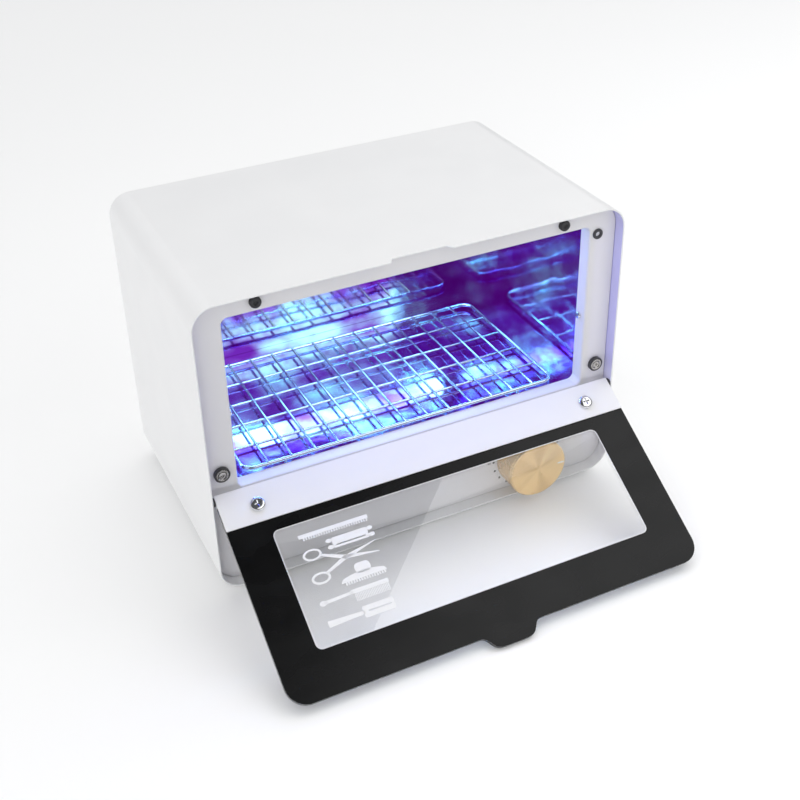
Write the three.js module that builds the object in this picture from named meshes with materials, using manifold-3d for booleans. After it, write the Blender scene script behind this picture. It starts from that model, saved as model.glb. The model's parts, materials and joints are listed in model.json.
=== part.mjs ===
// A countertop ultraviolet sterilizer cabinet for salon tools, in millimetres.
// +Z is up and the door faces -Y. The door is drawn folded down, with its tab just above the table.
// The origin is on the table, under the middle of the bounding box.
import * as THREE from 'three';
import { mergeVertices } from 'three/addons/utils/BufferGeometryUtils.js';
import Module from 'manifold-3d';

const wasm = await Module();
wasm.setup();

// Outer case. Depths run back from the case's front edge and heights rise from its underside.
const CASE_WIDTH = 340;
const CASE_HEIGHT = 240;
const CASE_DEPTH = 208;
const CASE_RADIUS = 18;
const SHEET = 1.2;
const GAP = 0.3;
const FOOT_HEIGHT = 6;
const REAR_FLANGE = 12;

// Recessed front fascia and the chamber opening in it.
const FASCIA_Y = 10;
const OPENING_HALF = 146;
const OPENING_LOW = 82.5;
const OPENING_HIGH = 222.5;
const OPENING_RADIUS = 5;
const RETURN_DEPTH = 12;

// Polished chamber lining.
const LINER = 0.8;
const CHAMBER_HALF = OPENING_HALF + SHEET + 0.4;
const CHAMBER_FLOOR = OPENING_LOW - SHEET - GAP;
const CHAMBER_CEILING = OPENING_HIGH + SHEET + GAP;
const CHAMBER_FRONT = FASCIA_Y + SHEET + 0.4;
const CHAMBER_BACK = 186;

// Door, drawn closed about its hinge axis and then turned down by the opening angle.
const HINGE_Y = 3.2;
const HINGE_Z = 81.5;
const DOOR_OPEN = 120.8;
const DOOR_HALF = 167;
const DOOR_LOW = -3.5;
const DOOR_HIGH = 156.5;
const DOOR_RADIUS = 15.5;
const PANEL_FRONT = -2.2;
const PANEL_THICK = 3;
const BORDER_THICK = 0.3;
const WINDOW_HALF = 136.5;
const WINDOW_LOW = DOOR_LOW + 37.5;
const WINDOW_HIGH = DOOR_LOW + 128.5;
const WINDOW_RADIUS = 5;
const TAB_BASE_HALF = 25;
const TAB_TIP_HALF = 9;
const TAB_HEIGHT = 10;
const STRIP_HEIGHT = 28.5;
const STRIP_SCREW_X = 139;
const STRIP_SCREW_Z = DOOR_LOW + 15.5;
const STRIP_SCREW_RADIUS = 5.7;
const STRIP_SCREW_HEIGHT = 2.6;
const EAR_DEPTH = 9;

// Fittings on the fascia.
const MAGNET_X = 158;
const MAGNET_Z = 99.6;
const MAGNET_RADIUS = 6;
const MAGNET_HEIGHT = 3.6;
const BUMPER_X = 121.5;
const BUMPER_Z = 230.5;
const BUMPER_RADIUS = 4.3;
const BUMPER_HEIGHT = 3.4;
const SWITCH_X = 152.5;
const SWITCH_Z = 216;

// Timer and its knob.
const TIMER_X = 94;
const TIMER_Z = 30.4;
const KNOB_BACK = FASCIA_Y - 1.2;
const KNOB_RADIUS = 25;
const KNOB_HEIGHT = 23;
const SHAFT_RADIUS = 3;

// Power inlet in the back panel.
const INLET_X = 118;
const INLET_Z = 40;

// Ultraviolet tube across the chamber, under the ceiling.
const LAMP_Y = 140;
const LAMP_Z = 208.5;
const TUBE_RADIUS = 7.75;
const TUBE_HALF = 136;
const TUBE_CAP = 8;

// Wire tray on the chamber floor.
const TRAY_X = -4;
const TRAY_HALF_WIDTH = 133;
const TRAY_FRONT = 24;
const TRAY_BACK = 166;
const TRAY_RADIUS = 9;
const TRAY_RIM = 1.6;
const TRAY_WIRE = 1.1;
const TRAY_LIFT = 4.2;
const TRAY_LONG_WIRES = 13;
const TRAY_CROSS_WIRES = 4;

const ROUND = 20;
const halfWidth = CASE_WIDTH / 2;
const panelBack = PANEL_FRONT + PANEL_THICK;
const borderFront = panelBack + 0.2;
const stripFront = borderFront + BORDER_THICK + GAP;
const stripBack = stripFront + SHEET;

// Materials

function finish(color, roughness, metalness, extra = {}) {
  return new THREE.MeshStandardMaterial({ color, roughness, metalness, ...extra });
}

const whitePaint = finish(0xebebee, 0.5, 0.1);
const mirrorSteel = finish(0xd5d6e2, 0.08, 1);
const zincSteel = finish(0xb4b6ba, 0.35, 0.9);
const chrome = finish(0xdcdde0, 0.12, 1);
const nickel = finish(0xa8a5a0, 0.25, 1);
const brass = finish(0xd9b06a, 0.32, 1);
const blackRubber = finish(0x1b1b1d, 0.75, 0);
const blackPlastic = finish(0x222225, 0.45, 0);
const whitePlastic = finish(0xf0f0ee, 0.4, 0);
const clearAcrylic = finish(0xf2f5f6, 0.05, 0, { transparent: true, opacity: 0.35 });
const blackPrint = finish(0x1d1d1f, 0.3, 0);
const uvGlass = finish(0xb9a8ff, 0.1, 0, { emissive: 0x6a4dff });
const blueSleeving = finish(0x3a5fa8, 0.5, 0);

// Solids: joining and cutting closed meshes

function toSolid(geometry) {
  const bare = geometry.clone();
  bare.deleteAttribute('normal');
  bare.deleteAttribute('uv');
  const merged = mergeVertices(bare, 1e-4);
  const vertProperties = new Float32Array(merged.attributes.position.array);
  const triVerts = new Uint32Array(merged.index.array);
  return new wasm.Manifold(new wasm.Mesh({ numProp: 3, vertProperties, triVerts }));
}

function toGeometry(solid) {
  const mesh = solid.getMesh();
  const geometry = new THREE.BufferGeometry();
  geometry.setAttribute('position', new THREE.BufferAttribute(mesh.vertProperties, 3));
  geometry.setIndex(new THREE.BufferAttribute(mesh.triVerts, 1));
  geometry.computeVertexNormals();
  return geometry;
}

function join(geometries) {
  return toGeometry(geometries.map(toSolid).reduce((whole, next) => whole.add(next)));
}

function cut(geometry, tools) {
  return toGeometry(tools.map(toSolid).reduce((whole, tool) => whole.subtract(tool), toSolid(geometry)));
}

// Simple shapes

function block(x0, x1, y0, y1, z0, z1) {
  const geometry = new THREE.BoxGeometry(x1 - x0, y1 - y0, z1 - z0);
  return geometry.translate((x0 + x1) / 2, (y0 + y1) / 2, (z0 + z1) / 2);
}

function rodX(radius, x0, x1, y, z, sides = ROUND) {
  const geometry = new THREE.CylinderGeometry(radius, radius, x1 - x0, sides);
  return geometry.rotateZ(Math.PI / 2).translate((x0 + x1) / 2, y, z);
}

function rodY(radius, y0, y1, x, z, sides = ROUND) {
  const geometry = new THREE.CylinderGeometry(radius, radius, y1 - y0, sides);
  return geometry.translate(x, (y0 + y1) / 2, z);
}

function rodZ(radius, z0, z1, x, y, sides = ROUND) {
  const geometry = new THREE.CylinderGeometry(radius, radius, z1 - z0, sides);
  return geometry.rotateX(Math.PI / 2).translate(x, y, (z0 + z1) / 2);
}

// A turned piece: [radius, height] pairs from the axis round to the axis, heights along +Y.
function turned(pairs, sides = ROUND) {
  return new THREE.LatheGeometry(pairs.map(([r, h]) => new THREE.Vector2(r, h)), sides);
}

// The same turned piece with its heights running forwards, towards -Y.
function turnedForward(pairs, x, y, z, sides = ROUND) {
  return turned(pairs, sides).rotateX(Math.PI).translate(x, y, z);
}

function roundedPath(path, x0, x1, z0, z1, r) {
  path.moveTo(x0 + r, z0);
  path.lineTo(x1 - r, z0);
  path.absarc(x1 - r, z0 + r, r, -Math.PI / 2, 0, false);
  path.lineTo(x1, z1 - r);
  path.absarc(x1 - r, z1 - r, r, 0, Math.PI / 2, false);
  path.lineTo(x0 + r, z1);
  path.absarc(x0 + r, z1 - r, r, Math.PI / 2, Math.PI, false);
  path.lineTo(x0, z0 + r);
  path.absarc(x0 + r, z0 + r, r, Math.PI, Math.PI * 1.5, false);
  return path;
}

function roundedHole(x0, x1, z0, z1, r) {
  return roundedPath(new THREE.Path(), x0, x1, z0, z1, r);
}

function roundedShape(x0, x1, z0, z1, r) {
  return roundedPath(new THREE.Shape(), x0, x1, z0, z1, r);
}

function roundHole(x, z, r) {
  return new THREE.Path().absarc(x, z, r, 0, Math.PI * 2, true);
}

// An upright plate: a shape drawn in x and z, filling y0 to y1.
function plate(shape, y0, y1, curveSegments = 6) {
  const geometry = new THREE.ExtrudeGeometry(shape, { depth: y1 - y0, bevelEnabled: false, curveSegments });
  return geometry.rotateX(Math.PI / 2).translate(0, y1, 0);
}

// A profile drawn in y and z, filling x0 to x1.
function profileAlongX(points, x0, x1) {
  const shape = new THREE.Shape(points.map(([y, z]) => new THREE.Vector2(y, z)));
  const geometry = new THREE.ExtrudeGeometry(shape, { depth: x1 - x0, bevelEnabled: false });
  const basis = new THREE.Matrix4().makeBasis(
    new THREE.Vector3(0, 1, 0), new THREE.Vector3(0, 0, 1), new THREE.Vector3(1, 0, 0));
  return geometry.applyMatrix4(basis).translate(x0, 0, 0);
}

function wire(points, radius, steps, sides = 6) {
  const knots = points.map((point) => new THREE.Vector3(...point));
  const path = new THREE.CatmullRomCurve3(knots, false, 'catmullrom', 0.1);
  const section = new THREE.Shape().absarc(0, 0, radius, 0, Math.PI * 2, false);
  return new THREE.ExtrudeGeometry(section, { steps, extrudePath: path, curveSegments: sides / 2 });
}

function add(parent, name, geometry, material) {
  const mesh = new THREE.Mesh(geometry, material);
  mesh.name = name;
  parent.add(mesh);
  return mesh;
}

const sides = [['left', -1], ['right', 1]];

// A pan-head screw whose head sits on y = seat and faces -Y.
function panScrew(x, z, seat, headRadius, headHeight, shankRadius, length) {
  return turnedForward([
    [0, -length], [shankRadius, -length], [shankRadius, 0], [headRadius, 0],
    [headRadius, headHeight * 0.5], [headRadius * 0.7, headHeight], [0, headHeight],
  ], x, seat, z, 12);
}

// A cross recess in a head that faces -Y and stands to y = -top.
function crossRecess(head, top, reach, width, depth) {
  return cut(head, [
    block(-reach, reach, -top - 1, -top + depth, -width / 2, width / 2),
    block(-width / 2, width / 2, -top - 1, -top + depth, -reach, reach),
  ]);
}

// Outer case

function outerSleeve() {
  const outer = roundedShape(-halfWidth, halfWidth, 0, CASE_HEIGHT, CASE_RADIUS);
  const inside = [-halfWidth + SHEET, halfWidth - SHEET, SHEET, CASE_HEIGHT - SHEET];
  outer.holes.push(roundedHole(...inside, CASE_RADIUS - SHEET));
  const wall = plate(outer, 0, CASE_DEPTH, 6);
  const rear = roundedShape(-halfWidth + 0.5, halfWidth - 0.5, 0.5, CASE_HEIGHT - 0.5, CASE_RADIUS - 0.5);
  const flange = [-halfWidth + REAR_FLANGE, halfWidth - REAR_FLANGE, REAR_FLANGE, CASE_HEIGHT - REAR_FLANGE];
  rear.holes.push(roundedHole(...flange, 4));
  const rim = plate(rear, CASE_DEPTH - SHEET, CASE_DEPTH, 4);
  const footHoles = footPlaces().map(([x, y]) => rodZ(2.3, -1, SHEET + 1, x, y, 8));
  const flangeHoles = backScrewPlaces().map(([x, z]) => rodY(1.7, CASE_DEPTH - 3, CASE_DEPTH + 1, x, z, 8));
  return cut(join([wall, rim]), [tabNotch(), ...footHoles, ...flangeHoles]);
}

// The shallow notch in the top wall's front edge, with rounded corners.
function tabNotch() {
  const half = 23.5;
  const deep = 5.2;
  const round = 3;
  const shape = new THREE.Shape();
  shape.moveTo(-half - round, -2);
  shape.lineTo(-half - round, 0);
  shape.absarc(-half - round, round, round, -Math.PI / 2, 0, false);
  shape.lineTo(-half, deep - round);
  shape.absarc(-half + round, deep - round, round, Math.PI, Math.PI / 2, true);
  shape.lineTo(half - round, deep);
  shape.absarc(half - round, deep - round, round, Math.PI / 2, 0, true);
  shape.lineTo(half, round);
  shape.absarc(half + round, round, round, Math.PI, Math.PI * 1.5, false);
  shape.lineTo(half + round, -2);
  const geometry = new THREE.ExtrudeGeometry(shape, { depth: 6, bevelEnabled: false, curveSegments: 4 });
  return geometry.translate(0, 0, CASE_HEIGHT - 3);
}

function footPlaces() {
  return [[-140, 22], [140, 22], [-140, 184], [140, 184]];
}

function backScrewPlaces() {
  const x = halfWidth - 7;
  return [[-x, 20], [x, 20], [-x, CASE_HEIGHT - 20], [x, CASE_HEIGHT - 20]];
}

function frontFascia() {
  const edge = SHEET + GAP;
  const shape = roundedShape(
    -halfWidth + edge, halfWidth - edge, edge, CASE_HEIGHT - edge, CASE_RADIUS - edge);
  shape.holes.push(roundedHole(-OPENING_HALF, OPENING_HALF, OPENING_LOW, OPENING_HIGH, OPENING_RADIUS));
  shape.holes.push(roundHole(TIMER_X, TIMER_Z, 5.5));
  shape.holes.push(roundHole(SWITCH_X, SWITCH_Z, 4));
  for (const [, side] of sides) {
    shape.holes.push(roundHole(side * MAGNET_X, MAGNET_Z, 1.9));
    shape.holes.push(roundHole(side * BUMPER_X, BUMPER_Z, 1.9));
  }
  const skirt = roundedShape(-OPENING_HALF - SHEET, OPENING_HALF + SHEET,
    OPENING_LOW - SHEET, OPENING_HIGH + SHEET, OPENING_RADIUS + SHEET);
  skirt.holes.push(roundedHole(-OPENING_HALF, OPENING_HALF, OPENING_LOW, OPENING_HIGH, OPENING_RADIUS));
  const skirtTube = plate(skirt, FASCIA_Y + 0.4, FASCIA_Y + RETURN_DEPTH, 4);
  return join([plate(shape, FASCIA_Y, FASCIA_Y + SHEET, 6), skirtTube]);
}

function backPanel() {
  const edge = 4;
  const y0 = CASE_DEPTH + GAP;
  const shape = roundedShape(
    -halfWidth + edge, halfWidth - edge, edge, CASE_HEIGHT - edge, CASE_RADIUS - edge);
  shape.holes.push(roundedHole(INLET_X - 13.8, INLET_X + 13.8, INLET_Z - 10, INLET_Z + 10, 0.2));
  for (const [x, z] of backScrewPlaces()) {
    shape.holes.push(roundHole(x, z, 2.2));
  }
  const slots = Array.from({ length: 10 }, (_, column) => {
    const x = -55.6 + column * 12;
    return block(x, x + 3.2, y0 - 1, y0 + SHEET + 1, 22, 60);
  });
  return cut(plate(shape, y0, y0 + SHEET, 3), slots);
}

// Power inlet: a flanged socket with a hollow mouth and three blades.
function powerInlet() {
  const face = CASE_DEPTH + GAP + SHEET + GAP;
  const flange = roundedShape(INLET_X - 16.5, INLET_X + 16.5, INLET_Z - 12.5, INLET_Z + 12.5, 3);
  const body = block(INLET_X - 13.4, INLET_X + 13.4, face - 20, face + 0.2, INLET_Z - 9.6, INLET_Z + 9.6);
  const whole = join([plate(flange, face, face + 2.5, 3), body]);
  const mouth = block(INLET_X - 12, INLET_X + 12, face - 16, face + 4, INLET_Z - 8, INLET_Z + 8);
  const blades = [[-7, -2], [0, 2], [7, -2]].map(([dx, dz]) => (
    block(INLET_X + dx - 1, INLET_X + dx + 1, face - 17, face - 4, INLET_Z + dz - 2, INLET_Z + dz + 2)));
  return join([cut(whole, [mouth]), ...blades]);
}

function backScrew(x, z) {
  const screw = panScrew(0, 0, 0, 3.2, 2, 1.4, 5);
  return screw.rotateZ(Math.PI).translate(x, CASE_DEPTH + 2 * GAP + SHEET, z);
}

function foot(x, y) {
  const ring = turned([[2.2, 0], [8, 0], [9, 1], [9.5, FOOT_HEIGHT], [2.2, FOOT_HEIGHT], [2.2, 0]], 14);
  const cone = turned([[0, -1], [4.6, -1], [4.6, 2.2], [0, 2.2]], 14);
  return cut(ring.rotateX(Math.PI / 2), [cone.rotateX(Math.PI / 2)]).translate(x, y, -FOOT_HEIGHT);
}

function footScrew(x, y) {
  const screw = panScrew(0, 0, 0, 4, 1.8, 1.5, 9);
  return screw.rotateX(Math.PI / 2).translate(x, y, -FOOT_HEIGHT + 1.9);
}

// Chamber

function linerWrap() {
  const x = CHAMBER_HALF;
  const floor = block(
    -x - LINER, x + LINER, CHAMBER_FRONT, CHAMBER_BACK, CHAMBER_FLOOR - LINER, CHAMBER_FLOOR);
  const walls = sides.map(([, side]) => {
    const x0 = side * (x + LINER / 2) - LINER / 2;
    const top = CHAMBER_CEILING - GAP;
    return block(x0, x0 + LINER, CHAMBER_FRONT, CHAMBER_BACK, CHAMBER_FLOOR - 0.4, top);
  });
  return cut(join([floor, ...walls]), [
    block(-x - 3, x + 3, LAMP_Y - 10, LAMP_Y + 10, LAMP_Z - 11, CHAMBER_CEILING + 5),
  ]);
}

function linerCeiling() {
  const x = CHAMBER_HALF + LINER;
  return block(-x, x, CHAMBER_FRONT, CHAMBER_BACK, CHAMBER_CEILING, CHAMBER_CEILING + LINER);
}

function linerBack() {
  const x = CHAMBER_HALF + LINER;
  const y0 = CHAMBER_BACK + GAP;
  return block(-x, x, y0, y0 + LINER, CHAMBER_FLOOR - LINER, CHAMBER_CEILING + LINER);
}

// A shallow folded channel over the tube.
function lampReflector() {
  const t = LINER;
  const top = CHAMBER_CEILING - GAP;
  const outline = [
    [-24, top - 7], [-12, top], [12, top], [24, top - 7],
    [24 - 0.6, top - 7 - t], [12 - 0.3, top - t], [-12 + 0.3, top - t], [-24 + 0.6, top - 7 - t],
  ].map(([y, z]) => [y + LAMP_Y, z]).reverse();
  return profileAlongX(outline, -TUBE_HALF, TUBE_HALF);
}

function uvTube() {
  return rodX(TUBE_RADIUS, -TUBE_HALF + GAP, TUBE_HALF - GAP, LAMP_Y, LAMP_Z);
}

function tubeCap(side) {
  const inner = side * TUBE_HALF;
  const outer = side * (TUBE_HALF + TUBE_CAP);
  const [low, high] = [Math.min(inner, outer), Math.max(inner, outer)];
  const pinEnd = outer + side * 5;
  const pins = [-2.4, 2.4].map((dy) => (
    rodX(1.1, Math.min(outer - side, pinEnd), Math.max(outer - side, pinEnd), LAMP_Y + dy, LAMP_Z, 10)));
  return join([rodX(TUBE_RADIUS + 0.2, low, high, LAMP_Y, LAMP_Z), ...pins]);
}

// A lamp holder that reaches through the chamber's side wall and grips the cap's pins.
function lampSocket(side) {
  const near = side * (TUBE_HALF + TUBE_CAP + 0.5);
  const far = side * (halfWidth - SHEET - 3);
  const [low, high] = [Math.min(near, far), Math.max(near, far)];
  const body = block(low, high, LAMP_Y - 9, LAMP_Y + 9, LAMP_Z - 10, LAMP_Z + 12);
  const slots = [-2.4, 2.4].map((dy) => {
    const y = LAMP_Y + dy;
    return block(side * 151 - 8, side * 151 + 8, y - 1.5, y + 1.5, LAMP_Z - 1.5, LAMP_Z + 1.5);
  });
  return cut(body, slots);
}

function wireTray() {
  const low = CHAMBER_FLOOR + TRAY_LIFT;
  const depth = TRAY_BACK - TRAY_FRONT;
  const x = TRAY_HALF_WIDTH;
  const pieces = [trayRim().translate(TRAY_X, TRAY_FRONT + depth / 2, low)];
  for (let i = 1; i <= TRAY_LONG_WIRES; i += 1) {
    const wx = TRAY_X - x + (2 * x * i) / (TRAY_LONG_WIRES + 1);
    pieces.push(rodY(TRAY_WIRE, TRAY_FRONT, TRAY_BACK, wx, low, 6));
  }
  for (let i = 1; i <= TRAY_CROSS_WIRES; i += 1) {
    const wy = TRAY_FRONT + (depth * i) / (TRAY_CROSS_WIRES + 1);
    pieces.push(rodX(TRAY_WIRE, TRAY_X - x, TRAY_X + x, wy, low, 6));
  }
  for (const [, side] of sides) {
    for (const y of [TRAY_FRONT, TRAY_BACK]) {
      pieces.push(rodZ(TRAY_WIRE, CHAMBER_FLOOR + 0.4, low, TRAY_X + side * 100, y, 6));
    }
  }
  return join(pieces);
}

// The rim is a torus whose four quarters are moved apart, with straight sides between round corners.
function trayRim() {
  const corner = 4;
  const rim = new THREE.TorusGeometry(TRAY_RADIUS, TRAY_RIM, 6, 4 * corner).rotateZ(Math.PI / (4 * corner));
  const points = rim.attributes.position;
  const outX = TRAY_HALF_WIDTH - TRAY_RADIUS;
  const outY = (TRAY_BACK - TRAY_FRONT) / 2 - TRAY_RADIUS;
  for (let i = 0; i < points.count; i += 1) {
    points.setX(i, points.getX(i) + Math.sign(points.getX(i)) * outX);
    points.setY(i, points.getY(i) + Math.sign(points.getY(i)) * outY);
  }
  return rim;
}

// Timer

function timerKnob() {
  const r = KNOB_RADIUS;
  const h = KNOB_HEIGHT;
  const profile = [
    [SHAFT_RADIUS + 0.1, 0], [r - 0.6, 0], [r, 0.6], [r, h - 2.4], [r - 0.5, h - 2], [r - 0.5, h - 1.4],
    [r, h - 1], [r - 0.8, h], [0, h], [0, h - 6], [SHAFT_RADIUS + 0.1, h - 6], [SHAFT_RADIUS + 0.1, 0],
  ];
  const body = turnedForward(profile, 0, 0, 0, 36);
  const slot = block(r - 7.5, r + 2, -h - 1, -h + 0.8, -0.9, 0.9);
  return cut(body, [slot]).translate(TIMER_X, KNOB_BACK, TIMER_Z);
}

function knobPointer() {
  const front = KNOB_BACK - KNOB_HEIGHT;
  const x = TIMER_X + KNOB_RADIUS;
  return block(x - 7.2, x - 1.4, front - 0.05, front + 0.5, TIMER_Z - 0.6, TIMER_Z + 0.6);
}

function timerShaft() {
  return rodY(SHAFT_RADIUS, KNOB_BACK - KNOB_HEIGHT + 6.4, FASCIA_Y + 20, TIMER_X, TIMER_Z);
}

function timerBody() {
  const back = FASCIA_Y + SHEET + GAP;
  const body = block(TIMER_X - 22, TIMER_X + 22, back, back + 38, TIMER_Z - 21, TIMER_Z + 22);
  const collar = rodY(5, back - SHEET - 0.8, back + 1, TIMER_X, TIMER_Z);
  const blades = [-12, -4, 4, 12].map((dx) => (
    block(TIMER_X + dx - 0.4, TIMER_X + dx + 0.4, back + 37, back + 45, TIMER_Z - 3, TIMER_Z + 3)));
  const bore = rodY(SHAFT_RADIUS + 0.05 + GAP, back - 9, back + 24, TIMER_X, TIMER_Z);
  return cut(join([body, collar, ...blades]), [bore]);
}

// Ballast, starter and terminals in the lower compartment

function ballast() {
  const z0 = SHEET + GAP;
  const core = block(-60, 20, 110, 150, z0 + 1.5, z0 + 30);
  const plateBelow = block(-75, 35, 114, 146, z0, z0 + 2);
  const coil = block(-50, 10, 104, 156, z0 + 7, z0 + 24);
  const holes = [-69, 29].map((x) => rodZ(2.2, z0 - 1, z0 + 4, x, 130, 12));
  return cut(join([core, plateBelow, coil]), holes);
}

function starterHolder() {
  const z0 = SHEET + GAP;
  return join([block(-130, -96, 118, 142, z0, z0 + 8), rodZ(11.5, z0 + 7, z0 + 13, -113, 130)]);
}

function starterCan() {
  const z0 = SHEET + GAP + 13 + GAP;
  const can = turned([[0, 0], [10, 0], [10, 30], [8.5, 32.5], [0, 32.5]]);
  return can.rotateX(Math.PI / 2).translate(-113, 130, z0);
}

function terminalBlock() {
  const z0 = SHEET + GAP;
  const base = block(66, 106, 120, 138, z0, z0 + 9);
  const ridges = [0, 1, 2, 3].map((i) => block(68 + i * 10, 74 + i * 10, 121, 137, z0 + 8, z0 + 14));
  return join([base, ...ridges]);
}

// Leads that run from the lower compartment up beside the chamber to each lamp holder.
function lampLead(side) {
  const x = side * 158;
  const start = side < 0 ? [-131, 130, 6] : [107, 129, 6];
  const rise = [20, 110, LAMP_Z - 10.6].map((z) => [x, LAMP_Y, z]);
  return wire([start, [side * 150, 132, 8], ...rise], 1.6, 18);
}

function mainsLead() {
  const y = CASE_DEPTH - 20.6;
  const points = [[INLET_X, y, INLET_Z], [INLET_X, y - 18, INLET_Z - 6], [104, 158, 12], [98, 138.8, 6]];
  return wire(points, 2.2, 18);
}

function timerLead() {
  const y = FASCIA_Y + SHEET + GAP + 45.6;
  const points = [[TIMER_X, y, TIMER_Z], [TIMER_X, y + 16, TIMER_Z - 5], [88, 100, 12], [84, 119.2, 6]];
  return wire(points, 2.2, 18);
}

// Door switch

function switchBezel() {
  return turnedForward([
    [2.9, -SHEET - 0.5], [3.7, -SHEET - 0.5], [3.7, 0.3], [4.9, 0.3], [4.9, 1.1], [4.4, 1.5], [2.9, 1.5],
    [2.9, -SHEET - 0.5],
  ], SWITCH_X, FASCIA_Y, SWITCH_Z);
}

function switchPlunger() {
  return turnedForward([[0, -12], [2, -12], [2, -5], [2.5, -5], [2.5, 0], [2.2, 0.5], [0, 0.8]],
    SWITCH_X, FASCIA_Y + 0.9, SWITCH_Z, 16);
}

function switchBody() {
  const y0 = FASCIA_Y + SHEET + 0.9;
  const body = block(SWITCH_X - 3.7, SWITCH_X + 8, y0, y0 + 26, SWITCH_Z - 12, SWITCH_Z + 6);
  return cut(body, [rodY(2.9, y0 - 1, y0 + 18, SWITCH_X, SWITCH_Z)]);
}

// Magnets and bumpers

function magnet(side) {
  const h = MAGNET_HEIGHT;
  const profile = [
    [1.9, GAP], [MAGNET_RADIUS, GAP], [MAGNET_RADIUS, h - 0.4], [MAGNET_RADIUS - 0.4, h],
    [3.7, h], [1.9, h - 1.9], [1.9, GAP],
  ];
  return turnedForward(profile, side * MAGNET_X, FASCIA_Y, MAGNET_Z, 24);
}

function magnetScrew(side) {
  const h = MAGNET_HEIGHT - 0.3;
  const body = turnedForward([[0, -7], [1.5, -7], [1.5, h - 1.75], [3.2, h], [0, h]], 0, 0, 0);
  return crossRecess(body, h, 1.8, 0.7, 0.9).translate(side * MAGNET_X, FASCIA_Y, MAGNET_Z);
}

// A push-in rubber bumper with a dimple in its face and a barbed stem behind the fascia.
function bumper(side) {
  const h = BUMPER_HEIGHT;
  const profile = [
    [0, -6], [1.2, -6], [2.6, -4], [2.6, -2], [1.7, -1.6], [1.7, GAP], [BUMPER_RADIUS, GAP],
    [BUMPER_RADIUS, h - 0.8], [BUMPER_RADIUS - 0.8, h], [2, h], [1.6, h - 1.2], [0, h - 1.2],
  ];
  return turnedForward(profile, side * BUMPER_X, FASCIA_Y, BUMPER_Z, 14);
}

// Door

// The door's edge, with room for the hinge ears and a tab with S-shaped sides on the free edge.
function doorOutline(shape) {
  const r = DOOR_RADIUS;
  const tip = DOOR_HIGH + TAB_HEIGHT;
  const notch = DOOR_HALF - 3.2;
  const earTop = DOOR_LOW + EAR_DEPTH;
  shape.moveTo(-notch, DOOR_LOW);
  shape.lineTo(notch, DOOR_LOW);
  shape.lineTo(notch, earTop);
  shape.lineTo(DOOR_HALF, earTop);
  shape.lineTo(DOOR_HALF, DOOR_HIGH - r);
  shape.absarc(DOOR_HALF - r, DOOR_HIGH - r, r, 0, Math.PI / 2, false);
  shape.lineTo(TAB_BASE_HALF, DOOR_HIGH);
  shape.bezierCurveTo(TAB_BASE_HALF - 8, DOOR_HIGH, TAB_TIP_HALF + 11, tip, TAB_TIP_HALF, tip);
  shape.lineTo(-TAB_TIP_HALF, tip);
  shape.bezierCurveTo(-TAB_TIP_HALF - 11, tip, -TAB_BASE_HALF + 8, DOOR_HIGH, -TAB_BASE_HALF, DOOR_HIGH);
  shape.lineTo(-DOOR_HALF + r, DOOR_HIGH);
  shape.absarc(-DOOR_HALF + r, DOOR_HIGH - r, r, Math.PI / 2, Math.PI, false);
  shape.lineTo(-DOOR_HALF, earTop);
  shape.lineTo(-notch, earTop);
  for (const [, side] of sides) {
    shape.holes.push(roundHole(side * STRIP_SCREW_X, STRIP_SCREW_Z, 2.3));
  }
  return shape;
}

function doorPanel() {
  return plate(doorOutline(new THREE.Shape()), PANEL_FRONT, panelBack);
}

function doorBorder() {
  const shape = doorOutline(new THREE.Shape());
  shape.holes.push(roundedHole(-WINDOW_HALF, WINDOW_HALF, WINDOW_LOW, WINDOW_HIGH, WINDOW_RADIUS));
  return plate(shape, borderFront, borderFront + BORDER_THICK);
}

// Steel strip across the door's lower edge, with an ear folded forwards at each end.
function hingeStrip() {
  const high = DOOR_LOW + STRIP_HEIGHT;
  const shape = roundedShape(-DOOR_HALF, DOOR_HALF, DOOR_LOW, high, 0.8);
  for (const [, side] of sides) {
    shape.holes.push(roundHole(side * STRIP_SCREW_X, STRIP_SCREW_Z, 2.3));
  }
  const ears = sides.map(([, side]) => {
    const centre = side * (DOOR_HALF - SHEET / 2);
    return block(centre - SHEET / 2, centre + SHEET / 2, PANEL_FRONT - 1.2, stripBack - 0.2,
      DOOR_LOW + 0.2, DOOR_LOW + EAR_DEPTH - 1);
  });
  const bores = sides.map(([, side]) => rodX(2.25, side * DOOR_HALF - 4, side * DOOR_HALF + 4, 0, 0, 16));
  return cut(join([plate(shape, stripFront, stripBack, 3), ...ears]), bores);
}

// Screws stand on the strip's inner side; their cap nuts close the outer side.
function stripScrew(side) {
  const length = stripBack - PANEL_FRONT + 3;
  const head = panScrew(0, 0, 0, STRIP_SCREW_RADIUS, STRIP_SCREW_HEIGHT, 1.95, length);
  const screw = crossRecess(head, STRIP_SCREW_HEIGHT, 2.9, 1, 1.2);
  return screw.rotateZ(Math.PI).translate(side * STRIP_SCREW_X, stripBack + 0.25, STRIP_SCREW_Z);
}

function capNut(side) {
  const profile = [
    [0, 5.4], [1.6, 5.2], [3.4, 4.4], [4.2, 2.4], [4.2, 0.25], [2.4, 0.25], [2.4, 3.6], [0, 3.6],
  ].reverse();
  return turnedForward(profile, side * STRIP_SCREW_X, PANEL_FRONT, STRIP_SCREW_Z, 6);
}

// Hinge studs stand on the case's side walls; a flanged bush on each carries the strip's ear.
function hingePin(side) {
  const wall = side * (halfWidth - SHEET - 0.05);
  const end = side * (DOOR_HALF - 2.4);
  return rodX(1.4, Math.min(wall, end), Math.max(wall, end), HINGE_Y, HINGE_Z, 16);
}

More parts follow.
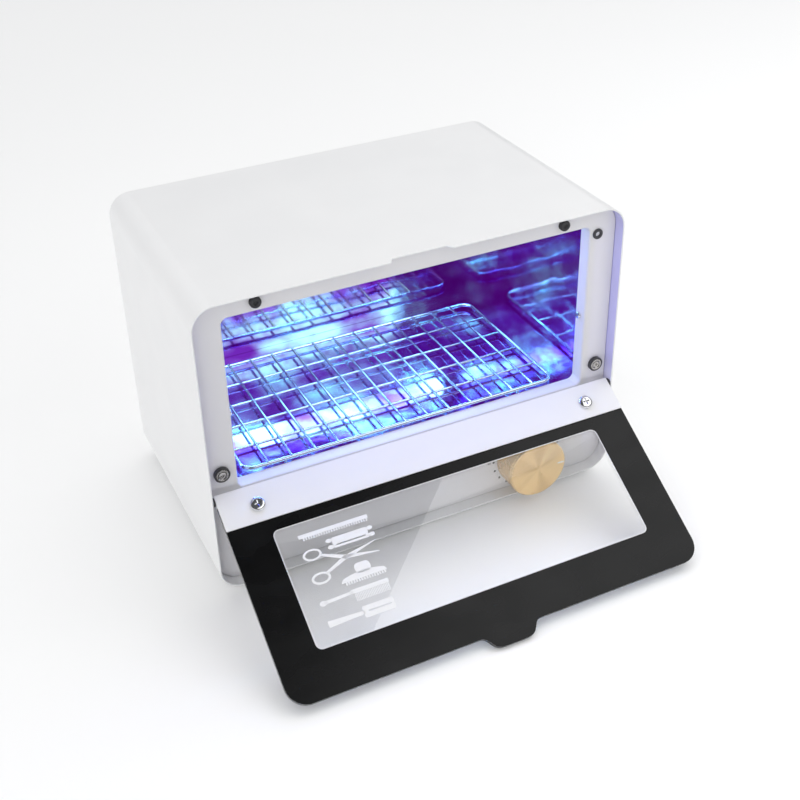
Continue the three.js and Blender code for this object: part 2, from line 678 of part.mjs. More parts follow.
function hingeBush(side) {
  const wall = halfWidth - SHEET - GAP;
  const flangeEnd = DOOR_HALF + GAP;
  const end = DOOR_HALF - SHEET - 0.8;
  const profile = [
    [1.5, end], [2.05, end], [2.05, flangeEnd], [3.4, flangeEnd], [3.4, wall], [1.5, wall], [1.5, end],
  ];
  const bush = turned(profile, 16);
  bush.rotateZ(-Math.PI / 2);
  if (side < 0) {
    bush.rotateY(Math.PI);
  }
  return bush.translate(0, HINGE_Y, HINGE_Z);
}

// Assembly

function buildCabinet() {
  const cabinet = new THREE.Group();
  cabinet.position.z = FOOT_HEIGHT;
  add(cabinet, 'outer_sleeve', outerSleeve(), whitePaint);
  add(cabinet, 'front_fascia', frontFascia(), whitePaint);
  add(cabinet, 'back_panel', backPanel(), whitePaint);
  backScrewPlaces().forEach(([x, z], index) => {
    const place = `${index < 2 ? 'low' : 'high'}_${x < 0 ? 'left' : 'right'}`;
    add(cabinet, `back_screw_${place}`, backScrew(x, z), zincSteel);
  });
  add(cabinet, 'power_inlet', powerInlet(), blackPlastic);
  footPlaces().forEach(([x, y], index) => {
    const place = `${index < 2 ? 'front' : 'rear'}_${x < 0 ? 'left' : 'right'}`;
    add(cabinet, `foot_${place}`, foot(x, y), blackRubber);
    add(cabinet, `foot_screw_${place}`, footScrew(x, y), zincSteel);
  });
  addChamber(cabinet);
  addElectrics(cabinet);
  addFasciaFittings(cabinet);
  return cabinet;
}

function addChamber(cabinet) {
  add(cabinet, 'liner_wrap', linerWrap(), mirrorSteel);
  add(cabinet, 'liner_ceiling', linerCeiling(), mirrorSteel);
  add(cabinet, 'liner_back', linerBack(), mirrorSteel);
  add(cabinet, 'lamp_reflector', lampReflector(), mirrorSteel);
  add(cabinet, 'uv_tube', uvTube(), uvGlass);
  add(cabinet, 'wire_tray', wireTray(), chrome);
  for (const [name, side] of sides) {
    add(cabinet, `tube_cap_${name}`, tubeCap(side), zincSteel);
    add(cabinet, `lamp_socket_${name}`, lampSocket(side), whitePlastic);
  }
}

function addElectrics(cabinet) {
  add(cabinet, 'timer_knob', timerKnob(), brass);
  add(cabinet, 'knob_pointer', knobPointer(), whitePlastic);
  add(cabinet, 'timer_shaft', timerShaft(), zincSteel);
  add(cabinet, 'timer_body', timerBody(), whitePlastic);
  add(cabinet, 'ballast', ballast(), zincSteel);
  add(cabinet, 'starter_holder', starterHolder(), whitePlastic);
  add(cabinet, 'starter_can', starterCan(), whitePlastic);
  add(cabinet, 'terminal_block', terminalBlock(), whitePlastic);
  add(cabinet, 'mains_lead', mainsLead(), blackRubber);
  add(cabinet, 'timer_lead', timerLead(), blueSleeving);
  for (const [name, side] of sides) {
    add(cabinet, `lamp_lead_${name}`, lampLead(side), blueSleeving);
  }
}

function addFasciaFittings(cabinet) {
  add(cabinet, 'switch_bezel', switchBezel(), blackPlastic);
  add(cabinet, 'switch_plunger', switchPlunger(), whitePlastic);
  add(cabinet, 'switch_body', switchBody(), blackPlastic);
  for (const [name, side] of sides) {
    add(cabinet, `magnet_${name}`, magnet(side), nickel);
    add(cabinet, `magnet_screw_${name}`, magnetScrew(side), chrome);
    add(cabinet, `bumper_${name}`, bumper(side), blackRubber);
    add(cabinet, `hinge_pin_${name}`, hingePin(side), zincSteel);
    add(cabinet, `hinge_bush_${name}`, hingeBush(side), blackPlastic);
  }
}

function buildDoor() {
  const door = new THREE.Group();
  door.position.set(0, HINGE_Y, HINGE_Z + FOOT_HEIGHT);
  door.rotation.x = THREE.MathUtils.degToRad(DOOR_OPEN);
  add(door, 'door_panel', doorPanel(), clearAcrylic);
  add(door, 'door_border', doorBorder(), blackPrint);
  add(door, 'hinge_strip', hingeStrip(), whitePaint);
  for (const [name, side] of sides) {
    add(door, `strip_screw_${name}`, stripScrew(side), chrome);
    add(door, `cap_nut_${name}`, capNut(side), chrome);
  }
  return door;
}

const sterilizer = new THREE.Group();
sterilizer.add(buildCabinet(), buildDoor());
sterilizer.updateMatrixWorld(true);
const middle = new THREE.Box3().setFromObject(sterilizer).getCenter(new THREE.Vector3());
sterilizer.position.y = -middle.y;

export default sterilizer;
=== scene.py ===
# %% [markdown]
# # An ultraviolet cabinet for salon tools
# This is the countertop box that keeps combs and scissors clean under an ultraviolet tube.
# The metalwork comes in first, at its real size, as a fixed frame.
# Most of what follows is placed from the boxes of those pieces.
# The opening, the window, the print and the small screws inside the lip have measures of their own.

# %% Load the metalwork
import json
import math

import bmesh
import bpy
from mathutils import Matrix, Vector
from mathutils.geometry import tessellate_polygon


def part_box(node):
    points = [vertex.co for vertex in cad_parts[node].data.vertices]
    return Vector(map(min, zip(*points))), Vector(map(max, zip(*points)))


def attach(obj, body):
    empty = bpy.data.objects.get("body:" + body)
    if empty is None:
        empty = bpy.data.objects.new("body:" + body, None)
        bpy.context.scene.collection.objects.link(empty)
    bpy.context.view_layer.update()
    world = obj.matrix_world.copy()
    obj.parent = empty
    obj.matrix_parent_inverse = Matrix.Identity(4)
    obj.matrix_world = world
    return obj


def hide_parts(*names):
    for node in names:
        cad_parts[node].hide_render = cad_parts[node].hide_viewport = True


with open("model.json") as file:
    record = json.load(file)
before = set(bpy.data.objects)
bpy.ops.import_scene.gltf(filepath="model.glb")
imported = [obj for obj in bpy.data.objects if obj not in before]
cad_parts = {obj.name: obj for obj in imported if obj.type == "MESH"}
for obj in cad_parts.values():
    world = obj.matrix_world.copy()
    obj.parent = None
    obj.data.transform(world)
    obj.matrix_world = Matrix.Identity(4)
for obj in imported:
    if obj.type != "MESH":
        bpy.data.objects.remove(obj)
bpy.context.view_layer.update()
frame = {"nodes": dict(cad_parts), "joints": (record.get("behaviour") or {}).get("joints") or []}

# %% [markdown]
# ## Measuring from the case
# A sheet metal worker measures a cabinet from one corner of its case, in millimetres.
# The case's front edge, its underside and its middle line are read from the sleeve's box.
# The function at() then turns such a measure into a place in the scene, in metres, and placed() adds an object.

# %% Measure from the case
MM = 0.001
case_low, case_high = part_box("outer_sleeve")
case_width = (case_high.x - case_low.x) / MM
case_depth = (case_high.y - case_low.y) / MM
case_height = (case_high.z - case_low.z) / MM


def at(x, y, z):
    """A place given in millimetres from the case's middle, front edge and underside."""
    return Vector((x * MM, case_low.y + y * MM, case_low.z + z * MM))


def measured(node):
    """A piece's box in millimetres, measured like at()."""
    low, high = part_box(node)
    origin = at(0, 0, 0)
    return (low - origin) / MM, (high - origin) / MM


def placed(name, data):
    """A new object in the scene."""
    thing = bpy.data.objects.new(name, data)
    bpy.context.scene.collection.objects.link(thing)
    return thing


print("case", round(case_width), "x", round(case_depth), "x", round(case_height), "mm")

# %% [markdown]
# ## The camera
# The cabinet is seen from the front left and a little above, leaning slightly to one side.
# A camera's own axes are right, up and back, so those three are worked out from the view's angles.
# A medium telephoto lens keeps the case's sides nearly parallel, and a small shift frames it.

# %% Set up the camera
camera = placed("studio_camera", bpy.data.cameras.new("studio_camera"))
bpy.context.scene.camera = camera
camera.data.lens = 54.53
camera.data.sensor_width = 36.0
camera.data.shift_x = 0.025
camera.data.shift_y = -0.075

swing, drop, lean = math.radians(24.488), math.radians(31.071), math.radians(-1.856)
ahead = Vector((math.sin(swing) * math.cos(drop), math.cos(swing) * math.cos(drop), -math.sin(drop)))
level = ahead.cross(Vector((0, 0, 1))).normalized()
aside = level * math.cos(lean) + level.cross(ahead) * math.sin(lean)
above = aside.cross(ahead)
camera.matrix_world = Matrix((aside, above, -ahead)).transposed().to_4x4()
camera.location = at(-339.2, -668.2, 623.3)
print("the camera stands at", tuple(round(c, 3) for c in camera.location))

# %% [markdown]
# ## Finishes
# A finish is a shader with a few plain values and some variation from noise.
# Real paint, plate and plastic are never quite even: the sheen drifts over a hand's width, and there is a fine grain.
# Small helpers do that: one starts a finish, two let its colour or another value wander, and one adds a grain.
# The last one puts them together, for the many finishes that are mottled in the same way.
# The noise runs in the piece's own space, in metres, so its scale is that of the real surface.

# %% Start a finish
def finish(name, colour, roughness, metallic=0.0):
    material = bpy.data.materials.new(name)
    material.use_nodes = True
    shader = shader_of(material)
    shader.inputs["Base Color"].default_value = (*colour, 1.0)
    shader.inputs["Roughness"].default_value = roughness
    shader.inputs["Metallic"].default_value = metallic
    return material


def shader_of(material):
    return material.node_tree.nodes["Principled BSDF"]


def glowing(material, colour, strength):
    """Lets a finish give off light."""
    shader_of(material).inputs["Emission Color"].default_value = (*colour, 1.0)
    shader_of(material).inputs["Emission Strength"].default_value = strength


def noise(material, size, stretch=(1, 1, 1), detail=3.0):
    """Noise whose patches are about size millimetres across, longer along a stretched axis."""
    nodes, links = material.node_tree.nodes, material.node_tree.links
    place = nodes.new("ShaderNodeTexCoord")
    scale = nodes.new("ShaderNodeMapping")
    scale.inputs["Scale"].default_value = [1 / (size * MM * s) for s in stretch]
    speckle = nodes.new("ShaderNodeTexNoise")
    speckle.inputs["Scale"].default_value = 1.0
    speckle.inputs["Detail"].default_value = detail
    links.new(place.outputs["Object"], scale.inputs["Vector"])
    links.new(scale.outputs["Vector"], speckle.inputs["Vector"])
    return speckle.outputs["Fac"]


def spread(material, value, low, high, start=0.0, end=1.0):
    """Stretches a value so that low becomes start and high becomes end."""
    nodes, links = material.node_tree.nodes, material.node_tree.links
    span = nodes.new("ShaderNodeMapRange")
    for socket, number in (("From Min", low), ("From Max", high), ("To Min", start), ("To Max", end)):
        span.inputs[socket].default_value = number
    links.new(value, span.inputs["Value"])
    return span.outputs["Result"]


def blend(material, first, second, share):
    """Colours the shader with a mix of two shades. A share of nought gives the first."""
    nodes, links = material.node_tree.nodes, material.node_tree.links
    mix = nodes.new("ShaderNodeMix")
    mix.data_type = "RGBA"
    mix.inputs["A"].default_value = (*first, 1.0)
    mix.inputs["B"].default_value = (*second, 1.0)
    links.new(share, mix.inputs["Factor"])
    links.new(mix.outputs["Result"], shader_of(material).inputs["Base Color"])


NOISE_LOW, NOISE_HIGH = 0.3, 0.7


def drift(material, socket, low, high, size, stretch=(1, 1, 1)):
    """Lets a value of the shader wander between low and high."""
    value = spread(material, noise(material, size, stretch), NOISE_LOW, NOISE_HIGH, low, high)
    material.node_tree.links.new(value, shader_of(material).inputs[socket])


def shade(material, dark, light, size, stretch=(1, 1, 1), span=(0.0, 1.0)):
    """Lets the colour wander between two shades. A narrow span makes clearer patches."""
    blend(material, dark, light, spread(material, noise(material, size, stretch), *span))


def grain(material, size, height, stretch=(1, 1, 1), detail=2.0):
    """Raises the surface by a noise of that patch size and height, both in millimetres."""
    nodes, links = material.node_tree.nodes, material.node_tree.links
    bump = nodes.new("ShaderNodeBump")
    bump.inputs["Distance"].default_value = height * MM
    shader = shader_of(material)
    if shader.inputs["Normal"].is_linked:
        links.new(shader.inputs["Normal"].links[0].from_socket, bump.inputs["Normal"])
    links.new(noise(material, size, stretch, detail), bump.inputs["Height"])
    links.new(bump.outputs["Normal"], shader.inputs["Normal"])


def mottled(name, dark, light, patch, gloss, gloss_patch, metallic=0.0, bumps=None):
    """A finish whose colour and roughness both wander, with a grain given as (size, height)."""
    middle = [(low + high) / 2 for low, high in zip(dark, light)]
    material = finish(name, middle, sum(gloss) / 2, metallic)
    shade(material, dark, light, patch)
    drift(material, "Roughness", *gloss, gloss_patch)
    if bumps:
        grain(material, *bumps)
    return material


print("finishes can be started, left to drift, and grained")

# %% [markdown]
# ## White powder coat
# The case is steel sheet with baked powder paint.
# Powder melts into a skin with shallow dimples about a millimetre across, like orange peel, and a soft satin sheen.
# A second, much slower wave stands for the sheet itself, which is never dead flat.

# %% Powder coat
ORANGE_PEEL = (1.1, 0.012)
powder_coat = mottled("white_powder_coat", (0.815, 0.817, 0.825), (0.86, 0.86, 0.862), 60,
                      (0.36, 0.48), 25, bumps=ORANGE_PEEL)
grain(powder_coat, 70, 0.05)
print("made", powder_coat.name)

# %% [markdown]
# ## Skins of folded sheet
# A folded sheet has the same outline all the way through its thickness, drawn in or let out a little.
# So it can be made from rings: rounded rectangles with the same number of points, at different insets and depths.
# Joining each ring to the next with four-sided faces gives a clean mesh with real, rounded folds.

# %% Rings and skins
def rounded_box(low, high, radius, inset=0.0, stops=(), steps=10):
    """Points round a rectangle with round corners, drawn in by inset. Stops are extra points along its top."""
    x0, z0, x1, z1 = low[0] + inset, low[1] + inset, high[0] - inset, high[1] - inset
    turn = max(radius - inset, 0.05)
    corners = ((x1 - turn, z0 + turn, -90), (x1 - turn, z1 - turn, 0),
               (x0 + turn, z1 - turn, 90), (x0 + turn, z0 + turn, 180))
    points = []
    for x, z, start in corners:
        for step in range(steps + 1):
            angle = math.radians(start + 90 * step / steps)
            points.append((x + turn * math.cos(angle), z + turn * math.sin(angle)))
        if start == 0:
            points += [(stop, z1) for stop in stops]
    return points


def meshed(name, shell):
    """Turns a shell into a mesh."""
    mesh = bpy.data.meshes.new(name)
    shell.to_mesh(mesh)
    shell.free()
    return mesh


def skin(rings, ends="joined"):
    """A shell over rings of equal length. The last ring joins the first, or both ends are capped."""
    shell = bmesh.new()
    rows = [[shell.verts.new(point) for point in ring] for ring in rings]
    following = rows[1:] + rows[:1] if ends == "joined" else rows[1:]
    for here, there in zip(rows, following):
        for i in range(len(here)):
            j = (i + 1) % len(here)
            shell.faces.new((here[i], here[j], there[j], there[i]))
    if ends == "capped":
        shell.faces.new(rows[0])
        shell.faces.new(rows[-1])
    return shell


def keep(name, shell, coat, body, stands_for=(), place=Matrix.Identity(4), crease=32):
    """Turns a shell into a named piece with its finish, and puts it on its body."""
    bmesh.ops.recalc_face_normals(shell, faces=shell.faces[:])
    mesh = meshed(name, shell)
    mesh.shade_smooth()
    mesh.set_sharp_from_angle(angle=math.radians(crease))
    mesh.materials.append(coat)
    piece = placed(name, mesh)
    piece.matrix_world = place
    even = piece.modifiers.new("even_shading", "WEIGHTED_NORMAL")
    even.keep_sharp = True
    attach(piece, body)
    if stands_for:
        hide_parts(*stands_for)
    print(name, len(mesh.polygons), "faces")
    return piece


def arc(centre, radius, start, end, steps=5):
    """Points on an arc, as pairs, with angles in degrees."""
    angles = [math.radians(start + (end - start) * step / steps) for step in range(steps + 1)]
    return [(centre[0] + radius * math.cos(a), centre[1] + radius * math.sin(a)) for a in angles]


def bow(start, pull, end, steps=5):
    """A curve from start to end, drawn towards a point."""
    points = []
    for step in range(steps + 1):
        t = step / steps
        shares = (1 - t) ** 2, 2 * t * (1 - t), t * t
        points.append(tuple(shares[0] * s + shares[1] * p + shares[2] * e for s, p, e in zip(start, pull, end)))
    return points


# %% [markdown]
# ## The sleeve
# One sheet is rolled into a tube with soft corners, and its back edge is turned in as a flange.
# The middle of its top front edge dips back, so that a finger can reach the door's tab.
# Its section is a list of insets and depths: round the front edge, back along the outside, round the fold,
# and home along the inside.
# The dip only moves the front edge's points, and eases in and out as a pressed edge does.
# The chamber's violet light falls on the side walls above the hinge.
# Painted violet light and shade stand for it: the inside coat there turns a darker lavender.

# %% The painted sleeve
SHEET = 1.2
CASE_CORNER = 18.0
FLANGE = 12.0
DIP_HALF, DIP_DEPTH, DIP_EASE = 23.5, 5.2, 4.0


def dip(x, z):
    """How far the top front edge stands back at x."""
    share = (DIP_HALF + 1.5 - abs(x)) / DIP_EASE
    share = min(max(share, 0.0), 1.0)
    return DIP_DEPTH * share * share * (3 - 2 * share) if z > case_height / 2 else 0.0


front_edge = arc((SHEET - 0.5, 0.5), 0.5, 0, -90, 4) + arc((0.5, 0.5), 0.5, -90, -180, 4)
fold = arc((2.2, case_depth - 2.2), 2.2, 180, 90, 6)
flange_edge = [(FLANGE, case_depth), (FLANGE, case_depth - SHEET)]
inner_fold = arc((2.2, case_depth - 2.2), 1.0, 90, 180, 5)
section = front_edge + fold + flange_edge + inner_fold
stops = [x * 0.5 for x in range(56, 29, -1)] + [0.0] + [-x * 0.5 for x in range(30, 57)]
rings = []
for index, (inset, y) in enumerate(section):
    outline = rounded_box((-case_width / 2, 0), (case_width / 2, case_height), CASE_CORNER, inset, stops, 12)
    moves = index < len(front_edge)
    rings.append([at(x, y + (dip(x, z) if moves else 0.0), z) for x, z in outline])
sleeve = keep("painted_sleeve", skin(rings), powder_coat, "cabinet", ["outer_sleeve"])

inside_coat_painted_light = finish("powder_coat_inside_painted_violet_light", (0.84, 0.84, 0.845), 0.5)
drift(inside_coat_painted_light, "Roughness", 0.44, 0.56, 25)
grain(inside_coat_painted_light, *ORANGE_PEEL)


def rising(material, below, above, low, high):
    """Blends from one shade to another between two heights in millimetres above the case's underside."""
    nodes, links = material.node_tree.nodes, material.node_tree.links
    place, split = nodes.new("ShaderNodeTexCoord"), nodes.new("ShaderNodeSeparateXYZ")
    links.new(place.outputs["Object"], split.inputs["Vector"])
    blend(material, below, above, spread(material, split.outputs["Z"], at(0, 0, low).z, at(0, 0, high).z))


# Painted violet light and shade: the inside of the side walls turns a darker lavender above the hinge.
rising(inside_coat_painted_light, (0.80, 0.80, 0.82), (0.56, 0.55, 0.85), 55, 105)
sleeve.data.materials.append(inside_coat_painted_light)
first_inside = len(rings[0]) * (len(section) - 1)
for face in list(sleeve.data.polygons)[first_inside:]:
    face.material_index = 1 if abs(face.normal.x) > 0.7 else 0

# %% [markdown]
# ## The fascia
# The front plate sits ten millimetres back inside the sleeve, and its opening has a turned-in lip.
# It is also a ring of sheet: from its outer edge, across the face, round the bend and into the lip, then back behind.
# Its coat is made a shade greyer than the sleeve's, as painted shade, so that the recessed face reads darker than the
# edge round it.

# %% The painted fascia
plate_low, plate_high = measured("front_fascia")
FACE = plate_low.y
LIP_BACK = plate_high.y
opening = ((-146.0, 82.5), (146.0, 222.5))
OPENING_CORNER, PLATE_CORNER = 5.0, 16.5
BEND = 1.8


def fascia_ring(let_out, y):
    """A ring round the opening, let out from its edge."""
    return [at(x, y, z) for x, z in rounded_box(*opening, OPENING_CORNER, -let_out)]


def plate_ring(inset, y):
    outline = rounded_box((plate_low.x, plate_low.z), (plate_high.x, plate_high.z), PLATE_CORNER, inset)
    return [at(x, y, z) for x, z in outline]


bend_out = arc((BEND, FACE + BEND), BEND, -90, -180, 6)
bend_in = arc((BEND, FACE + BEND), BEND - SHEET, 180, 270, 4)
rings = [plate_ring(0, FACE + SHEET), plate_ring(0, FACE + 0.3), plate_ring(0.3, FACE)]
rings += [fascia_ring(o, y) for o, y in bend_out]
rings += [fascia_ring(0, LIP_BACK - 0.3), fascia_ring(0.3, LIP_BACK), fascia_ring(SHEET, LIP_BACK)]
rings += [fascia_ring(o, y) for o, y in bend_in]
# Painted shade: this coat is greyer than the sleeve's to stand for the shade in the recess.
fascia_coat_painted_shade = mottled("powder_coat_fascia_painted_shade", (0.735, 0.728, 0.745), (0.775, 0.765, 0.775), 60,
                      (0.40, 0.52), 25, bumps=ORANGE_PEEL)
keep("painted_fascia", skin(rings), fascia_coat_painted_shade, "cabinet", ["front_fascia"])

# %% [markdown]
# ## The chamber's lining
# The chamber is lined with mirror-finished stainless steel, so that the light reaches every side of a tool.
# Thin polished sheet is slightly wavy, which breaks reflections into soft blotches and streaks.
# A violet and pale blue tint and a weak glow are put into the metal, to stand for the tube's light and its bounces.
# The lining is flat work with the right shape already, so the metalwork's own pieces stay and only take the finish.

# %% Mirror steel
mirror_steel = finish("mirror_stainless", (0.60, 0.50, 0.80), 0.08, 1.0)
shade(mirror_steel, (0.27, 0.11, 0.50), (0.60, 0.97, 1.0), 48, span=(0.38, 0.60))
drift(mirror_steel, "Roughness", 0.04, 0.13, 20)
grain(mirror_steel, 55, 0.9, detail=1.0)
grain(mirror_steel, 14, 0.08, detail=1.0)
glowing(mirror_steel, (0.25, 0.0, 0.42), 0.14)


def dress(node, coat, edge=0.0):
    """Gives one of the metalwork's own pieces its finish, and softens its edges."""
    piece = frame["nodes"][node]
    piece.data.materials.clear()
    piece.data.materials.append(coat)
    if edge:
        soft = piece.modifiers.new("soft_edge", "BEVEL")
        soft.width = edge * MM
        soft.segments = 2
        soft.limit_method = "ANGLE"
        soft.angle_limit = math.radians(40)
    return piece


for node in ("liner_wrap", "liner_ceiling", "liner_back", "lamp_reflector"):
    dress(node, mirror_steel)
print("lined the chamber")

# %% [markdown]
# ## Turned pieces
# Knobs, screws, magnets and tubes are turned on a lathe, so one half section describes each of them.
# The section is a list of radius and height, spun round in many steps.
# The result is aimed along a direction and set down at its place, and it can be added to other shells.

# %% Turning
def turned(section, sides=48, flutes=0, flute_depth=0.0, joined=False):
    """Spins (radius, height) pairs in millimetres about the upright axis. A third value cuts flutes there."""
    shell = bmesh.new()
    rows = []
    for radius, height, *fluted in section:
        if radius < 1e-6:
            rows.append([shell.verts.new((0, 0, height * MM))])
            continue
        row = []
        for i in range(sides):
            angle = 2 * math.pi * i / sides
            r = radius - (flute_depth * (0.5 - 0.5 * math.cos(flutes * angle)) if fluted else 0.0)
            row.append(shell.verts.new((r * math.cos(angle) * MM, r * math.sin(angle) * MM, height * MM)))
        rows.append(row)
    for here, there in zip(rows, rows[1:] + rows[:1] if joined else rows[1:]):
        if len(here) == len(there) == 1:
            continue
        for i in range(sides):
            j = (i + 1) % sides
            corners = (here[i % len(here)], here[j % len(here)], there[j % len(there)], there[i % len(there)])
            shell.faces.new(list(dict.fromkeys(corners)))
    return shell


def aimed(shell, place, direction):
    """Turns a shell from upright to a direction and sets it down at a place."""
    turn = Vector(direction).to_track_quat("Z", "Y").to_matrix().to_4x4()
    shell.transform(Matrix.Translation(place) @ turn)
    return shell


def add_shell(whole, part):
    """Adds one shell's pieces to another."""
    mesh = meshed("part", part)
    whole.from_mesh(mesh)
    bpy.data.meshes.remove(mesh)


FORWARD, BACKWARD, DOWN = (0, -1, 0), (0, 1, 0), (0, 0, -1)
print("pieces can be turned, aimed and added together")

# %% [markdown]
# ## The ultraviolet tube
# The tube is a slim lamp of clear glass across the chamber, under the ceiling, with a metal cap at each end.
# The gas in it glows pale blue, a little weaker towards the ends where the electrodes are.
# Its brightness is part of its finish, so it also lights the chamber as the real tube does.

# %% The glowing tube
uv_glow = mottled("uv_glass", (0.50, 0.62, 1.0), (0.62, 0.76, 1.0), 18, (0.08, 0.18), 12)
glowing(uv_glow, (0.42, 0.70, 1.0), 13.0)

tube_low, tube_high = measured("uv_tube")
tube_radius = (tube_high.z - tube_low.z) / 2
tube_middle = (tube_low + tube_high) / 2
tube_length = tube_high.x - tube_low.x
dome = arc((tube_radius - 1.5, 1.5), 1.5, -90, 0, 4)
section = [(0, 0)] + dome + [(r, tube_length - h) for r, h in reversed(dome)] + [(0, tube_length)]
tube = aimed(turned(section, 40), at(tube_low.x, tube_middle.y, tube_middle.z), (1, 0, 0))
keep("lamp_tube", tube, uv_glow, "cabinet", ["uv_tube"])

zinc = mottled("zinc_steel", (0.44, 0.45, 0.48), (0.60, 0.60, 0.60), 6, (0.25, 0.45), 4, 1.0, (1.5, 0.01))
white_plastic = mottled("white_plastic", (0.77, 0.77, 0.75), (0.83, 0.83, 0.82), 10, (0.32, 0.46), 6,
                        bumps=(0.5, 0.006))

for side in ("left", "right"):
    dress(f"tube_cap_{side}", zinc, 0.3)
    dress(f"lamp_socket_{side}", white_plastic, 0.4)

# %% [markdown]
# ## The wire tray
# The tray is bent and welded from chromed wire: a thick rim, four cross wires, and thirteen thin wires over them.
# The thin wires lie on the cross wires rather than in them, and each is sunk a little into the next at the weld.
# The rim is a ring of rings, like the sleeve, and each wire is a thin rod with rounded ends.

# %% Chromed wire
# Painted light: the chrome's blue to cyan tint stands for the tube's light on the wires.
tray_chrome_painted_uv_light = mottled("tray_wire", (0.66, 0.72, 0.88), (0.82, 0.95, 0.98), 12, (0.10, 0.24), 5, 1.0, (2.0, 0.008))

tray_low, tray_high = measured("wire_tray")
RIM, WIRE, SUNK, WIRE_END = 1.6, 1.1, 0.95, 0.9
RIM_CORNER, LEG_SPREAD = 9.0, 100
LONG_WIRES, CROSS_WIRES = 13, 4
wire_level = tray_high.z - RIM
x0, x1 = tray_low.x + RIM, tray_high.x - RIM
y0, y1 = tray_low.y + RIM, tray_high.y - RIM


def rod(shell, start, end, radius, sides=12):
    """Adds a round-ended rod between two places given like at()."""
    start, end = at(*start), at(*end)
    length = (end - start).length / MM
    nose = arc((radius * 0.4, radius * 0.6), radius * 0.6, -90, 0, 3)
    section = [(0, 0)] + nose + [(r, length - h) for r, h in reversed(nose)] + [(0, length)]
    add_shell(shell, aimed(turned(section, sides), start, end - start))


rings = []
for inset, rise in arc((0, 0), RIM, 0, 345, 23)[::2]:
    outline = rounded_box((x0, y0), (x1, y1), RIM_CORNER, inset)
    rings.append([at(x, y, wire_level + rise) for x, y in outline])
wires = skin(rings)
for i in range(1, LONG_WIRES + 1):
    x = x0 + (x1 - x0) * i / (LONG_WIRES + 1)
    rod(wires, (x, y0 - WIRE_END, wire_level + SUNK), (x, y1 + WIRE_END, wire_level + SUNK), WIRE)
for i in range(1, CROSS_WIRES + 1):
    y = y0 + (y1 - y0) * i / (CROSS_WIRES + 1)
    rod(wires, (x0 - WIRE_END, y, wire_level - SUNK), (x1 + WIRE_END, y, wire_level - SUNK), WIRE)
for x in ((x0 + x1) / 2 - LEG_SPREAD, (x0 + x1) / 2 + LEG_SPREAD):
    for y in (y0, y1):
        rod(wires, (x, y, tray_low.z), (x, y, wire_level + 0.2), WIRE)
keep("welded_tray", wires, tray_chrome_painted_uv_light, "tray", ["wire_tray"], crease=60)

# %% [markdown]
# ## The timer knob
# The knob is turned from brass-coloured aluminium.
# Its face was cut with a tool that moves in from the edge, which leaves rings too fine to see.
# Those rings spread each highlight across the face in wedge shapes, as on a record.
# That is an anisotropic gloss whose direction runs round the axis, with painted highlights under it: two shades
# blended in wedge shapes.
# The side has a very fine straight knurl for grip, with a polished bevel and a groove in front of it.

# %% Brass-coloured aluminium
knob_low, knob_high = measured("timer_knob")
KNOB = (knob_high.x - knob_low.x) / 2
knob_depth = knob_high.y - knob_low.y
dial = ((knob_low.x + knob_high.x) / 2, knob_high.y, (knob_low.z + knob_high.z) / 2)

gold_face = finish("gold_aluminium_face", (0.82, 0.53, 0.20), 0.30, 1.0)
drift(gold_face, "Roughness", 0.27, 0.33, 12)
shader_of(gold_face).inputs["Anisotropic"].default_value = 0.75
around = gold_face.node_tree.nodes.new("ShaderNodeTangent")
around.direction_type = "RADIAL"
around.axis = "Y"
gold_face.node_tree.links.new(around.outputs["Tangent"], shader_of(gold_face).inputs["Tangent"])


def wedges(material, dark, light, centre):
    """Painted highlights: blends two shades by direction from a centre alone, which draws wedge shapes that meet
    there.
    """
    nodes, links = material.node_tree.nodes, material.node_tree.links
    place = nodes.new("ShaderNodeTexCoord")
    spoke, direction, flattened = (nodes.new("ShaderNodeVectorMath") for _ in range(3))
    spoke.operation, direction.operation, flattened.operation = "SUBTRACT", "NORMALIZE", "MULTIPLY"
    spoke.inputs[1].default_value = centre
    flattened.inputs[1].default_value = (1.0, 0.0, 1.0)
    waves = nodes.new("ShaderNodeTexNoise")
    waves.inputs["Scale"].default_value = 1.25
    waves.inputs["Detail"].default_value = 0.0
    links.new(place.outputs["Object"], spoke.inputs[0])
    links.new(spoke.outputs["Vector"], flattened.inputs[0])
    links.new(flattened.outputs["Vector"], direction.inputs[0])
    links.new(direction.outputs["Vector"], waves.inputs["Vector"])
    blend(material, dark, light, spread(material, waves.outputs["Fac"], 0.38, 0.62))


# Painted highlight: wedge shapes of darker and lighter gold under the real anisotropic gloss.
wedges(gold_face, (0.76, 0.49, 0.18), (0.95, 0.66, 0.29), at(*dial))

gold_side = mottled("gold_aluminium_side", (0.72, 0.46, 0.18), (0.84, 0.58, 0.25), 9, (0.24, 0.34), 6, 1.0)
h = knob_depth
KNURLS, KNURL_DEPTH = 120, 0.22
section = [(0, h - 6), (3.4, h - 6), (3.4, 0), (KNOB - 0.6, 0), (KNOB - 0.1, 0.2), (KNOB, 0.7, 1)]
section += [(KNOB, z, 1) for z in (4, 8, 12, 16, h - 3.4)]
section += [(KNOB, h - 2.9), (KNOB - 0.45, h - 2.5), (KNOB - 0.45, h - 1.9), (KNOB, h - 1.5), (KNOB, h - 0.9)]
section += [(KNOB - 0.7, h - 0.1), (KNOB - 0.8, h - 0.1), (KNOB - 0.8, h - 0.6), (0, h - 0.6)]
grip = aimed(turned(section, 4 * KNURLS, KNURLS, KNURL_DEPTH), at(*dial), FORWARD)
keep("knob_grip", grip, gold_side, "timer_dial", ["timer_knob"], crease=50)

